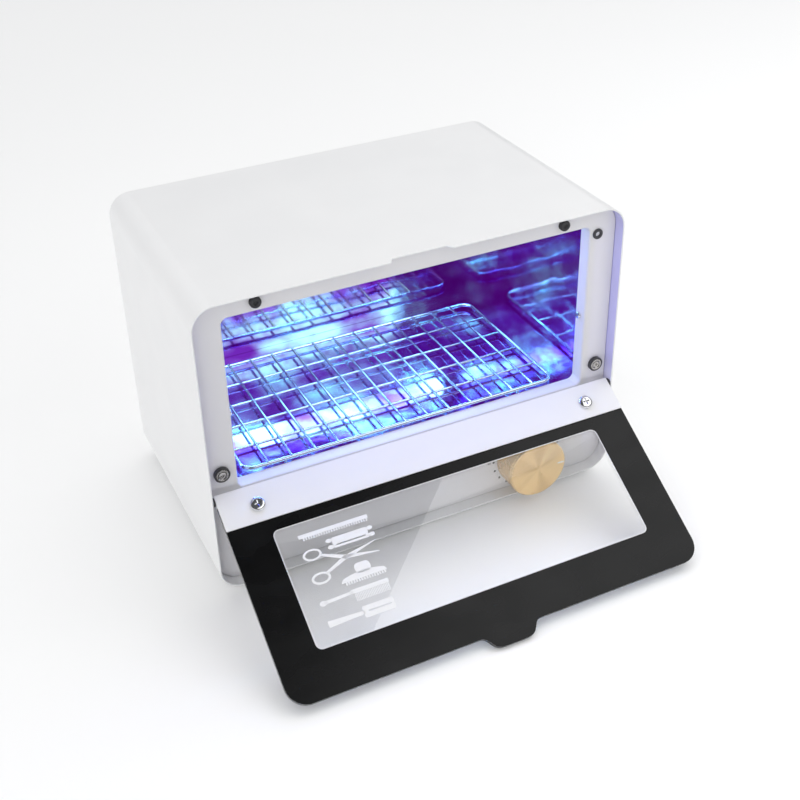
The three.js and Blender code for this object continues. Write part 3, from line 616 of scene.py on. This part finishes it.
section = [(0, h - 0.55), (KNOB - 0.85, h - 0.55), (KNOB - 0.85, h - 0.1), (KNOB - 0.95, h - 0.02)]
section += [(r, h - 0.02 * (r % 2 == 0)) for r in range(22, 0, -1)] + [(0, h)]
face = aimed(turned(section, 180), at(*dial), FORWARD)
keep("knob_face", face, gold_face, "timer_dial")

white_paint = finish("pointer_paint", (0.85, 0.85, 0.84), 0.45)
shade(white_paint, (0.82, 0.82, 0.80), (0.88, 0.88, 0.87), 2)
grain(white_paint, 0.4, 0.006)
dress("knob_pointer", white_paint, 0.1)
dress("timer_shaft", zinc, 0.2)

# %% [markdown]
# ## Marks round the dial
# The fascia carries a ring of printed dots, one for every five minutes, with a few small numbers outside them.
# Screen ink stands up by a hair, so each mark is a very thin piece of its own on the paint.
# The numbers are text turned into a mesh, set upright on the face.

# %% Printed dial marks
ink = mottled("dial_ink", (0.010, 0.010, 0.012), (0.022, 0.022, 0.024), 1.5, (0.42, 0.6), 1.0)
MARK_RING, NUMBER_RING = 27.5, 31.5
START_MARK, MARK_STEP = 9.0, 19.0
INK_HEIGHT = 0.06


def round_dial(angle, radius):
    """A place on the fascia at an angle clockwise from three o'clock."""
    a = math.radians(-angle)
    return dial[0] + radius * math.cos(a), FACE, dial[2] + radius * math.sin(a)


dot = [(0, -0.02), (1.0, -0.02), (1.0, INK_HEIGHT), (0, INK_HEIGHT)]
dots = bmesh.new()
for step in range(1, 14):
    x, y, z = round_dial(START_MARK + MARK_STEP * step, MARK_RING)
    if z > plate_low.z + 1.5:
        add_shell(dots, aimed(turned(dot, 24), at(x, y, z), FORWARD))
keep("dial_dots", dots, ink, "cabinet")


def number(text, angle, radius, size=3.0):
    """A printed number on the fascia, as a mesh."""
    letters = bpy.data.curves.new("number_" + text, "FONT")
    letters.body = text
    letters.size = size * MM
    letters.extrude = INK_HEIGHT * MM / 2
    letters.align_x = "CENTER"
    letters.align_y = "CENTER"
    words = placed("number_" + text, letters)
    bpy.context.view_layer.update()
    mesh = bpy.data.meshes.new_from_object(words.evaluated_get(bpy.context.evaluated_depsgraph_get()))
    bpy.data.objects.remove(words)
    shell = bmesh.new()
    shell.from_mesh(mesh)
    bmesh.ops.remove_doubles(shell, verts=shell.verts[:], dist=1e-7)
    x, y, z = round_dial(angle, radius)
    shell.transform(Matrix.Translation(at(x, y - INK_HEIGHT / 2, z)) @ Matrix.Rotation(math.pi / 2, 4, "X"))
    return keep("number_" + text, shell, ink, "cabinet")


for minutes in (15, 45, 60):
    number(str(minutes), START_MARK + MARK_STEP * minutes / 5, NUMBER_RING)
number("0", 0, NUMBER_RING + 1.5)

# %% [markdown]
# ## Screws with a cross recess
# A cross recess is cut after the head is turned, with a cutter like a driver's tip: a cross that tapers inwards.
# A boolean takes the cutter's shape out of the head, which leaves real walls that shade as they should.

# %% Cut a cross recess
def cross_ring(reach, arm, height):
    corners = [(arm, reach), (arm, arm), (reach, arm), (reach, -arm), (arm, -arm), (arm, -reach),
               (-arm, -reach), (-arm, -arm), (-reach, -arm), (-reach, arm), (-arm, arm), (-arm, reach)]
    return [(x * MM, y * MM, height * MM) for x, y in corners]


def recessed(shell, top, reach, arm, depth):
    """The upright shell with a tapering cross cut down from its top."""
    cutter = skin([cross_ring(reach, arm, top + 0.4), cross_ring(reach * 0.85, arm * 0.9, top - depth * 0.5),
                   cross_ring(arm * 0.9, arm * 0.55, top - depth)], "capped")
    pair = []
    for name, part in (("head", shell), ("cutter", cutter)):
        bmesh.ops.recalc_face_normals(part, faces=part.faces[:])
        pair.append(placed(name, meshed(name, part)))
    cut = pair[0].modifiers.new("cut", "BOOLEAN")
    cut.operation = "DIFFERENCE"
    cut.solver = "EXACT"
    cut.object = pair[1]
    bpy.context.view_layer.update()
    result = bmesh.new()
    done = pair[0].evaluated_get(bpy.context.evaluated_depsgraph_get())
    result.from_mesh(done.to_mesh())
    done.to_mesh_clear()
    for part in pair:
        bpy.data.objects.remove(part)
    return result


print("a cross recess can be cut")

# %% [markdown]
# ## Magnets, bumpers and the switch
# Two ring magnets low on the fascia hold the closed door, each in a dark-edged cup with a screw through its middle.
# Two rubber bumpers above the opening quiet the door as it shuts.
# A small pan-head screw on each side of the opening's lip holds the lining behind it.
# A small switch at the upper right tells whether the door is shut, and its white plunger sits in a black collar.

# %% The fascia's fittings
nickel = mottled("magnet_nickel", (0.34, 0.33, 0.32), (0.50, 0.48, 0.46), 2.5, (0.16, 0.34), 2, 1.0, (1.0, 0.01))

cup_black = finish("cup_black", (0.03, 0.03, 0.032), 0.38)
shade(cup_black, (0.02, 0.02, 0.022), (0.05, 0.05, 0.05), 2)
grain(cup_black, 0.6, 0.01)

bright_chrome = mottled("chrome_screw", (0.74, 0.74, 0.77), (0.85, 0.85, 0.86), 2, (0.06, 0.16), 1.5, 1.0,
                        (1.2, 0.006))
rubber = mottled("black_rubber", (0.022, 0.022, 0.024), (0.04, 0.04, 0.042), 3, (0.52, 0.74), 2, bumps=(0.4, 0.02))
black_plastic = mottled("black_plastic", (0.024, 0.024, 0.027), (0.042, 0.042, 0.045), 5, (0.28, 0.46), 3,
                        bumps=(0.5, 0.015))


def seat(node):
    """The place of a round fitting on the fascia, with its height and its radius in millimetres."""
    low, high = measured(node)
    return at((low.x + high.x) / 2, FACE, (low.z + high.z) / 2), FACE - low.y, (high.x - low.x) / 2


for side in ("left", "right"):
    place, tall, R = seat(f"magnet_{side}")
    cup = [(0, 0.3), (R - 0.2, 0.3), (R, 0.5), (R, tall - 0.5), (R - 0.3, tall - 0.1), (R - 0.5, tall)]
    cup += [(R - 0.9, tall), (R - 1.1, tall - 0.25), (R - 1.1, 1.2), (0, 1.2)]
    keep(f"magnet_cup_{side}", aimed(turned(cup, 56), place, FORWARD), cup_black,
         "cabinet", [f"magnet_{side}"])
    ring = [(0, 1.3), (R - 1.25, 1.3), (R - 1.25, tall - 0.35), (R - 1.45, tall - 0.1), (3.6, tall - 0.1)]
    ring += [(2.5, tall - 1.3), (0, tall - 1.3)]
    keep(f"magnet_ring_{side}", aimed(turned(ring, 56), place, FORWARD), nickel, "cabinet")
    top = tall - 0.06
    head = [(0, top - 1.14), (1.5, top - 1.14), (1.7, top - 1.09), (2.75, top - 0.29), (2.6, top - 0.16)]
    head = recessed(turned(head + [(1.4, top - 0.04), (0, top)], 40), top, 1.5, 0.42, 0.8)
    keep(f"magnet_bolt_{side}", aimed(head, place, FORWARD), nickel,
         "cabinet", [f"magnet_screw_{side}"])

    place, tall, R = seat(f"bumper_{side}")
    button = [(0, -3), (1.6, -3), (1.6, 0.1), (R, 0.1)] + arc((R - 0.9, tall - 0.9), 0.9, 0, 90, 5)
    button += [(2.1, tall), (1.9, tall - 0.15), (1.5, tall - 1.1), (1.2, tall - 1.25), (0, tall - 1.3)]
    keep(f"bumper_button_{side}", aimed(turned(button, 40), place, FORWARD), rubber,
         "cabinet", [f"bumper_{side}"])

LIP_SCREW_Y, LIP_SCREW_Z = 17.5, 143.5
for side, wall, inwards in (("left", opening[0][0], (1, 0, 0)), ("right", opening[1][0], (-1, 0, 0))):
    head = [(0, -0.5), (1.4, -0.5), (1.4, 0.02), (2.8, 0.02), (3.0, 0.25)]
    head += bow((3.0, 0.9), (2.9, 2.2), (1.6, 2.45), 6) + [(0, 2.5)]
    head = aimed(recessed(turned(head, 40), 2.5, 1.5, 0.42, 1.2), at(wall, LIP_SCREW_Y, LIP_SCREW_Z), inwards)
    keep(f"lip_screw_{side}", head, bright_chrome, "cabinet")

place, proud, R = seat("switch_bezel")
R -= 0.7
collar = [(1.9, -1.5), (3.4, -1.5), (3.4, 0.05), (R, 0.05)] + arc((R - 0.6, proud - 0.6), 0.6, 0, 90, 4)
collar = aimed(turned(collar + [(2.4, proud), (1.9, proud - 0.5)], 48, joined=True), place, FORWARD)
keep("switch_collar", collar, black_plastic, "cabinet", ["switch_bezel"])

reach = seat("switch_plunger")[1]
pin = [(0, reach - 8), (1.7, reach - 8), (1.7, reach - 0.8)] + arc((0.9, reach - 0.8), 0.8, 0, 90, 5)
pin = aimed(turned(pin + [(0, reach)], 32), place, FORWARD)
keep("switch_pin", pin, white_plastic, "door_switch", ["switch_plunger"])

# %% [markdown]
# ## The door's own frame
# The door is drawn shut and upright, about its hinge, and then laid down by its opening angle.
# The hinge's place and its travel come from the joint, and the pieces' sizes are read back through the same turn.

# %% The door's frame
hinge = next(joint for joint in frame["joints"] if joint["name"] == "door_hinge")
door_place = Matrix.Translation(hinge["pos_m"]) @ Matrix.Rotation(math.radians(hinge["range_deg"][1]), 4, "X")


def door_measured(node):
    """A door piece's box in millimetres, with the door shut, measured from the hinge."""
    corners = [door_place.inverted() @ v.co / MM for v in frame["nodes"][node].data.vertices]
    low = Vector([min(c[i] for c in corners) for i in range(3)])
    high = Vector([max(c[i] for c in corners) for i in range(3)])
    return low, high


panel_low, panel_high = door_measured("door_panel")
border_low, border_high = door_measured("door_border")
strip_low, strip_high = door_measured("hinge_strip")
print("door", round(panel_high.x - panel_low.x), "x", round(panel_high.z - panel_low.z), "mm")

# %% [markdown]
# ## Plates
# A plate is a flat outline with holes, a thickness, and a small rounded edge.
# Its sides are rings like those of folded sheet, and its two faces are filled with triangles round the holes.
# To round the edge, each ring is the outline drawn in along the bisector of every corner.

# %% Cutting plates
def drawn_in(outline, amount):
    """The outline moved to its left by amount, each corner along its bisector."""
    moved = []
    for before, here, after in zip(outline[-1:] + outline[:-1], outline, outline[1:] + outline[:1]):
        first, second = (here - before).normalized(), (after - here).normalized()
        across = Vector((-(first.y + second.y), first.x + second.x)).normalized()
        moved.append(here + across * amount / max(0.35, across.dot(Vector((-first.y, first.x)))))
    return moved


def plate(outlines, near, far, edge=0.25, steps=2):
    """A plate between two depths. The first outline runs anticlockwise, and the holes clockwise."""
    outlines = [[Vector(point) for point in outline] for outline in outlines]
    quarter = [math.radians(90 * step / steps) for step in range(steps + 1)]
    levels = [(edge * (1 - math.sin(a)), near + edge * (1 - math.cos(a))) for a in quarter]
    levels += [(inset, near + far - y) for inset, y in reversed(levels)]
    shell = bmesh.new()
    rows = [[[shell.verts.new((p.x * MM, y * MM, p.y * MM)) for p in drawn_in(outline, inset)]
             for outline in outlines] for inset, y in levels]
    for here, there in zip(rows, rows[1:]):
        for first, second in zip(here, there):
            for i in range(len(first)):
                j = (i + 1) % len(first)
                shell.faces.new((first[i], first[j], second[j], second[i]))
    for row in (rows[0], rows[-1]):
        flat = [v for ring in row for v in ring]
        for triangle in tessellate_polygon([[(v.co.x, v.co.z, 0) for v in ring] for ring in row]):
            shell.faces.new([flat[i] for i in triangle])
    return shell


def reversed_box(low, high, radius, steps=8):
    return list(reversed(rounded_box(low, high, radius, steps=steps)))


print("plates can be cut")

# %% [markdown]
# ## The door's clear sheet
# The door is one sheet of clear acrylic with a tab in the middle of its free edge.
# Light has to pass through it to whatever lies below, so for shadow rays the sheet counts as open air.
# Its gloss comes from the shader's own reflection, with only a trace of roughness.

# %% Clear acrylic
clear_acrylic = finish("clear_acrylic", (0.985, 0.99, 0.99), 0.015)
drift(clear_acrylic, "Roughness", 0.003, 0.012, 30)
nodes, links = clear_acrylic.node_tree.nodes, clear_acrylic.node_tree.links
glass = shader_of(clear_acrylic)
glass.inputs["Transmission Weight"].default_value = 1.0
glass.inputs["IOR"].default_value = 1.49
open_air = nodes.new("ShaderNodeBsdfTransparent")
open_air.inputs["Color"].default_value = (0.87, 0.875, 0.875, 1.0)
ray = nodes.new("ShaderNodeLightPath")
either = nodes.new("ShaderNodeMixShader")
result = nodes["Material Output"]
links.new(ray.outputs["Is Shadow Ray"], either.inputs[0])
links.new(glass.outputs[0], either.inputs[1])
links.new(open_air.outputs[0], either.inputs[2])
links.new(either.outputs[0], result.inputs["Surface"])


def sweep(start, leave, arrive, end, steps=10):
    """A curve that leaves start and arrives at end along two handles."""
    points = []
    for step in range(steps + 1):
        t = step / steps
        shares = ((1 - t) ** 3, 3 * t * (1 - t) ** 2, 3 * t * t * (1 - t), t ** 3)
        corners = (start, leave, arrive, end)
        points.append(tuple(sum(share * c[axis] for share, c in zip(shares, corners)) for axis in range(2)))
    return points


HALF = panel_high.x
LOW = panel_low.z
TIP = panel_high.z
HIGH = TIP - 10.0
TAB_BASE, TAB_TIP = 25, 9
DOOR_CORNER = 15.5
EAR_ROOM, EAR_TOP = 3.2, LOW + 9.0


def door_outline():
    """The door's edge, anticlockwise, with room for the hinge ears and a tab on the free edge."""
    right = [(HALF - EAR_ROOM, LOW), (HALF - EAR_ROOM, EAR_TOP), (HALF, EAR_TOP)]
    right += arc((HALF - DOOR_CORNER, HIGH - DOOR_CORNER), DOOR_CORNER, 0, 90, 12)
    right += sweep((TAB_BASE, HIGH), (17, HIGH), (20, TIP), (TAB_TIP, TIP))
    return right + [(-x, z) for x, z in reversed(right)]


keep("door_sheet", plate([door_outline()], panel_low.y, panel_high.y, 0.35, 3), clear_acrylic,
     "door", ["door_panel"], door_place)

# %% [markdown]
# ## The printed border
# A black border is printed round the sheet and leaves a window with small round corners.
# The print has a satin skin that shows wide, soft reflections, so its gloss drifts in long patches.
# A hairline of painted highlight runs round the window, beside the print, for the light that the window's edge
# catches.

# %% The black border
satin_black = finish("black_border", (0.001, 0.001, 0.001), 0.36)
shade(satin_black, (0.0006, 0.0006, 0.0007), (0.0016, 0.0016, 0.0018), 40, (1.6, 1, 0.7))
drift(satin_black, "Roughness", 0.20, 0.36, 38, (1.5, 1, 0.8))
grain(satin_black, 0.7, 0.004)
shader_of(satin_black).inputs["Specular IOR Level"].default_value = 0.30

WINDOW = ((-136.5, LOW + 37.5), (136.5, LOW + 128.5))
WINDOW_CORNER, RIM_HIGHLIGHT_WIDTH = 5.0, 0.75
INK_BACK = panel_high.y + 0.01
border = plate([door_outline(), reversed_box(*WINDOW, WINDOW_CORNER)], INK_BACK, border_high.y, 0.08, 1)
keep("printed_border", border, satin_black, "door", ["door_border"], door_place)

# Painted highlight: a thin pale ring stands for the light caught by the window's edge.
rim_highlight_paint = finish("window_rim_painted_highlight", (0.82, 0.82, 0.82), 0.3)
shade(rim_highlight_paint, (0.78, 0.78, 0.79), (0.88, 0.88, 0.88), 9)
inside = reversed_box((WINDOW[0][0] + RIM_HIGHLIGHT_WIDTH, WINDOW[0][1] + RIM_HIGHLIGHT_WIDTH), (WINDOW[1][0] - RIM_HIGHLIGHT_WIDTH, WINDOW[1][1] - RIM_HIGHLIGHT_WIDTH),
                      4.3, 10)
rim_highlight = plate([rounded_box(*WINDOW, WINDOW_CORNER, 0.02), inside], INK_BACK, INK_BACK + 0.12, 0.03, 1)
keep("window_rim_painted_highlight", rim_highlight, rim_highlight_paint, "door", (), door_place)

# %% [markdown]
# ## The hinge strip
# A white steel strip is screwed across the door's lower edge, and its ends fold forwards into two ears.
# The hinge pins pass through the ears.
# The strip and the ears are plates, and the ears are turned a quarter round before they join it.

# %% The hinge strip and its ears
def ring_of(x, z, radius, sides=24):
    """A clockwise circle, for a hole."""
    turn = [2 * math.pi * i / sides for i in range(sides)]
    return [(x + radius * math.cos(a), z - radius * math.sin(a)) for a in turn]


strip = plate([rounded_box((strip_low.x, strip_low.z), (strip_high.x, strip_high.z), 0.9, steps=4)],
              strip_high.y - SHEET, strip_high.y, 0.3, 3)
ear_outline = rounded_box((strip_low.y, strip_low.z + 0.2), (strip_high.y - 0.1, strip_low.z + 8.0), 1.2, steps=5)
for near in (-HALF, HALF - SHEET):
    ear = plate([ear_outline, ring_of(0, 0, 2.25)], near, near + SHEET, 0.15, 2)
    ear.transform(Matrix.Rotation(math.pi / 2, 4, "Z") @ Matrix.Scale(-1, 4, (0, 1, 0)))
    add_shell(strip, ear)
keep("painted_strip", strip, powder_coat, "door", ["hinge_strip"], door_place)

for side in ("left", "right"):
    low, high = door_measured(f"strip_screw_{side}")
    place = Vector(((low.x + high.x) / 2, strip_high.y, (low.z + high.z) / 2)) * MM
    tall, R = high.y - strip_high.y, (high.x - low.x) / 2
    head = [(0, -2), (1.9, -2), (1.9, 0.05), (R - 0.3, 0.05), (R, 0.3), (R, 0.9)]
    head += bow((R, 0.9), (R - 0.3, tall - 0.25), (R * 0.55, tall - 0.12), 6)[1:] + [(0, tall)]
    head = recessed(turned(head, 56), tall, 3.0, 0.62, 1.5)
    keep(f"strip_bolt_{side}", aimed(head, place, BACKWARD), bright_chrome, "door",
         [f"strip_screw_{side}"], door_place)

    low, high = door_measured(f"cap_nut_{side}")
    place = Vector(((low.x + high.x) / 2, panel_low.y, (low.z + high.z) / 2)) * MM
    reach = panel_low.y - low.y
    nut = turned([(0, 0.2), (3.9, 0.2), (4.2, 0.4), (4.2, 2.2), (3.8, 2.55), (0, 2.55)], 6)
    cap = [(0, 2.3), (3.35, 2.3)] + bow((3.35, 3.1), (3.1, reach - 0.2), (0, reach), 8)
    add_shell(nut, turned(cap, 36))
    keep(f"dome_nut_{side}", aimed(nut, place, FORWARD), bright_chrome, "door",
         [f"cap_nut_{side}"], door_place)
    dress(f"hinge_pin_{side}", zinc)
    dress(f"hinge_bush_{side}", black_plastic, 0.15)

# %% [markdown]
# ## Pictures of tools on the window
# Small white silhouettes on the left of the window say what the cabinet is for.
# Each is cut as a very thin plate on the inner face, from simple outlines: bars, rings, blades and rows of teeth.

# %% Printed tool pictures
white_ink = mottled("white_ink", (0.82, 0.82, 0.81), (0.90, 0.90, 0.89), 6, (0.42, 0.6), 3)
pictures = bmesh.new()


def print_on_window(*outlines):
    add_shell(pictures, plate(outlines, INK_BACK, INK_BACK + 0.07, 0.02, 1))


def toothed(x0, x1, root, tip, teeth):
    """Points from x1 back to x0 along a row of teeth."""
    pitch = (x1 - x0) / teeth
    points = []
    for i in range(teeth):
        x = x1 - i * pitch
        points += [(x, root), (x, tip), (x - pitch * 0.55, tip), (x - pitch * 0.55, root)]
    return points


def bar(x0, z0, x1, z1, start, end):
    """A tapering bar between two places, anticlockwise."""
    a, b = Vector((x0, z0)), Vector((x1, z1))
    across = Vector((-(b - a).y, (b - a).x)).normalized()
    return [tuple(p) for p in (a - across * start, b - across * end, b + across * end, a + across * start)]


def oval(x, z, wide, high, clockwise=False, sides=28):
    turn = [2 * math.pi * i / sides * (-1 if clockwise else 1) for i in range(sides)]
    return [(x + wide * math.cos(a), z + high * math.sin(a)) for a in turn]


print_on_window([(-120, 43.2), (-66, 43.2), (-66, 46.0)] + toothed(-118, -67, 46.0, 48.0, 26) + [(-120, 46.0)])
print_on_window(rounded_box((-98, 52), (-70, 60), 1.5, steps=4), reversed_box((-95.5, 57.4), (-72.5, 58.4), 0.4, 2))
for x in (-100, -68):
    print_on_window(oval(x, 53.5, 2.4, 1.5))
    print_on_window(oval(x, 58.5, 2.4, 1.5))
print_on_window(bar(-109.5, 75.2, -92.6, 68.6, 0.9, 1.5))
print_on_window(bar(-93.6, 69.0, -67.5, 63.4, 1.6, 0.25))
print_on_window(bar(-109.0, 61.6, -92.6, 68.6, 0.9, 1.5))
print_on_window(bar(-93.6, 68.2, -67.5, 72.0, 1.6, 0.25))
for z in (59.6, 77.6):
    print_on_window(oval(-115, z, 7.2, 4.4), oval(-115, z, 5.4, 2.9, True))
print_on_window(rounded_box((-90, 75.4), (-78, 83), 3, steps=5))
print_on_window([(-103, 86.4)] + bow((-101, 83.8), (-85, 79.2), (-69, 83.8), 10) + [(-67.5, 86.4)]
                + toothed(-101, -69, 86.4, 88.6, 16))
print_on_window(bar(-119, 95.2, -98, 94.4, 1.2, 1.0))
print_on_window(oval(-120.5, 95.3, 2.6, 1.9))
print_on_window([(-99, 92.6), (-70, 92.6), (-70, 95.6)] + toothed(-97.5, -70.8, 95.6, 101.5, 22) + [(-99, 95.6)])
print_on_window(bar(-122.5, 110.4, -95, 110.4, 2.3, 1.2))
print_on_window(rounded_box((-96, 106.2), (-72, 114.6), 1.2, steps=4),
                reversed_box((-92, 109.8), (-74, 111.0), 0.5, 2))
keep("tool_pictures", pictures, white_ink, "door", (), door_place)

# %% [markdown]
# ## The back, the feet and the works inside
# The back is a flat painted panel with a row of cooling slots, four screws and the socket for a mains lead.
# Four rubber feet lift the case off the counter.
# Behind the fascia are the lamp's ballast, its starter, a terminal block and the leads between them.
# The metalwork has all of these in full, so they keep their shapes, and only the feet are turned again.

# %% Dress the back, the feet and the works
dress("back_panel", powder_coat, 0.2)
dress("power_inlet", black_plastic, 0.5)
for level in ("low", "high"):
    for side in ("left", "right"):
        dress(f"back_screw_{level}_{side}", zinc, 0.15)
for end in ("front", "rear"):
    for side in ("left", "right"):
        low, high = measured(f"foot_{end}_{side}")
        R, tall = (high.x - low.x) / 2, high.z - low.z
        foot = [(2.6, 2.4), (2.6, 0.1), (R - 1.3, 0.1), (R, 0.6), (R, 1.2)]
        foot += [(R - 1.5, tall - 0.8), (R - 2.2, tall), (4.6, tall), (4.6, 2.4)]
        place = at((low.x + high.x) / 2, (low.y + high.y) / 2, high.z)
        keep(f"rubber_foot_{end}_{side}", aimed(turned(foot, 48, joined=True), place, DOWN), rubber,
             "cabinet", [f"foot_{end}_{side}"])
        dress(f"foot_screw_{end}_{side}", zinc, 0.15)

steel_core = mottled("core_steel", (0.17, 0.17, 0.19), (0.30, 0.30, 0.32), 8, (0.38, 0.6), 5, 0.9,
                     (0.6, 0.02, (40, 40, 1)))
blue_sleeving = mottled("lead_sleeving", (0.03, 0.08, 0.28), (0.06, 0.14, 0.42), 10, (0.38, 0.55), 4)
dress("ballast", steel_core, 0.3)
dress("starter_can", zinc, 0.3)
for node in ("starter_holder", "terminal_block", "timer_body"):
    dress(node, white_plastic, 0.3)
dress("switch_body", black_plastic, 0.2)
for node in ("mains_lead", "timer_lead", "lamp_lead_left", "lamp_lead_right"):
    dress(node, blue_sleeving)
carried = [node for node in frame["nodes"].values() if not node.hide_render]
print("dressed", len(carried), "of the metalwork's own pieces")

# %% [markdown]
# ## The studio
# The cabinet stands on a wide pale floor with soft light all round, which leaves only a faint shadow under it.
# One large overhead panel shows as a clean-edged sheen across the window, and in the bright metal.
# The other lights are there for the paint, so they are kept out of reflections.

# %% Floor and lights
FLOOR_DROP = 0.0002
white_floor = finish("white_floor", (0.9, 0.9, 0.9), 0.8)
shade(white_floor, (0.895, 0.895, 0.895), (0.905, 0.905, 0.905), 400)
glowing(white_floor, (1, 1, 1), 0.06)
shader_of(white_floor).inputs["Specular IOR Level"].default_value = 0.2
wide = bmesh.new()
corners = [(-6, -6), (6, -6), (6, 9), (-6, 9)]
wide.faces.new([wide.verts.new((x, y, -FLOOR_DROP)) for x, y in corners])
floor = placed("floor", meshed("floor", wide))
floor.data.materials.append(white_floor)

world = bpy.data.worlds.new("soft_room")
bpy.context.scene.world = world
world.use_nodes = True
backdrop = world.node_tree.nodes["Background"].inputs
backdrop["Color"].default_value = (0.92, 0.95, 1.0, 1.0)
backdrop["Strength"].default_value = 0.11


def sun(name, towards, strength, spread):
    """A broad light from far away, left out of reflections."""
    light = bpy.data.lights.new(name, "SUN")
    light.energy = strength
    light.angle = math.radians(spread)
    lamp = placed(name, light)
    lamp.rotation_mode = "QUATERNION"
    lamp.rotation_quaternion = Vector(towards).to_track_quat("-Z", "Y")
    lamp.visible_glossy = False


def panel(name, centre, across, facing, size, watts, colour=(1, 1, 1), seen=False):
    """A flat rectangular light. Across is the direction of its first side."""
    light = bpy.data.lights.new(name, "AREA")
    light.shape = "RECTANGLE"
    light.size, light.size_y = size
    light.energy = watts
    light.color = colour
    lamp = placed(name, light)
    back = -Vector(facing).normalized()
    side = (Vector(across) - back * Vector(across).dot(back)).normalized()
    lamp.matrix_world = Matrix.Translation(centre) @ Matrix((side, back.cross(side), back)).transposed().to_4x4()
    lamp.visible_camera = False
    lamp.visible_glossy = seen


sun("sun_left_front", (1.0, 0.22, -0.40), 2.30, 110)
sun("sun_top_right", (-0.30, -0.38, -0.9), 1.58, 70)
panel("window_sheen", (1.013, -0.974, 1.3), (0.753, -0.658, 0), (0, 0, -1), (1.6, 2.4), 18, seen=True)
panel("chamber_glow", at(0, 80, 221), (1, 0, 0), (0, 0, -1), (0.27, 0.11), 0.19, (0.58, 0.48, 0.95))
panel("recess_glow", at(150, 4, 120), (0, 0, 1), (1, 0, 0), (0.2, 0.004), 0.002, (0.45, 0.40, 1.0))
bpy.context.scene.view_settings.view_transform = "Standard"
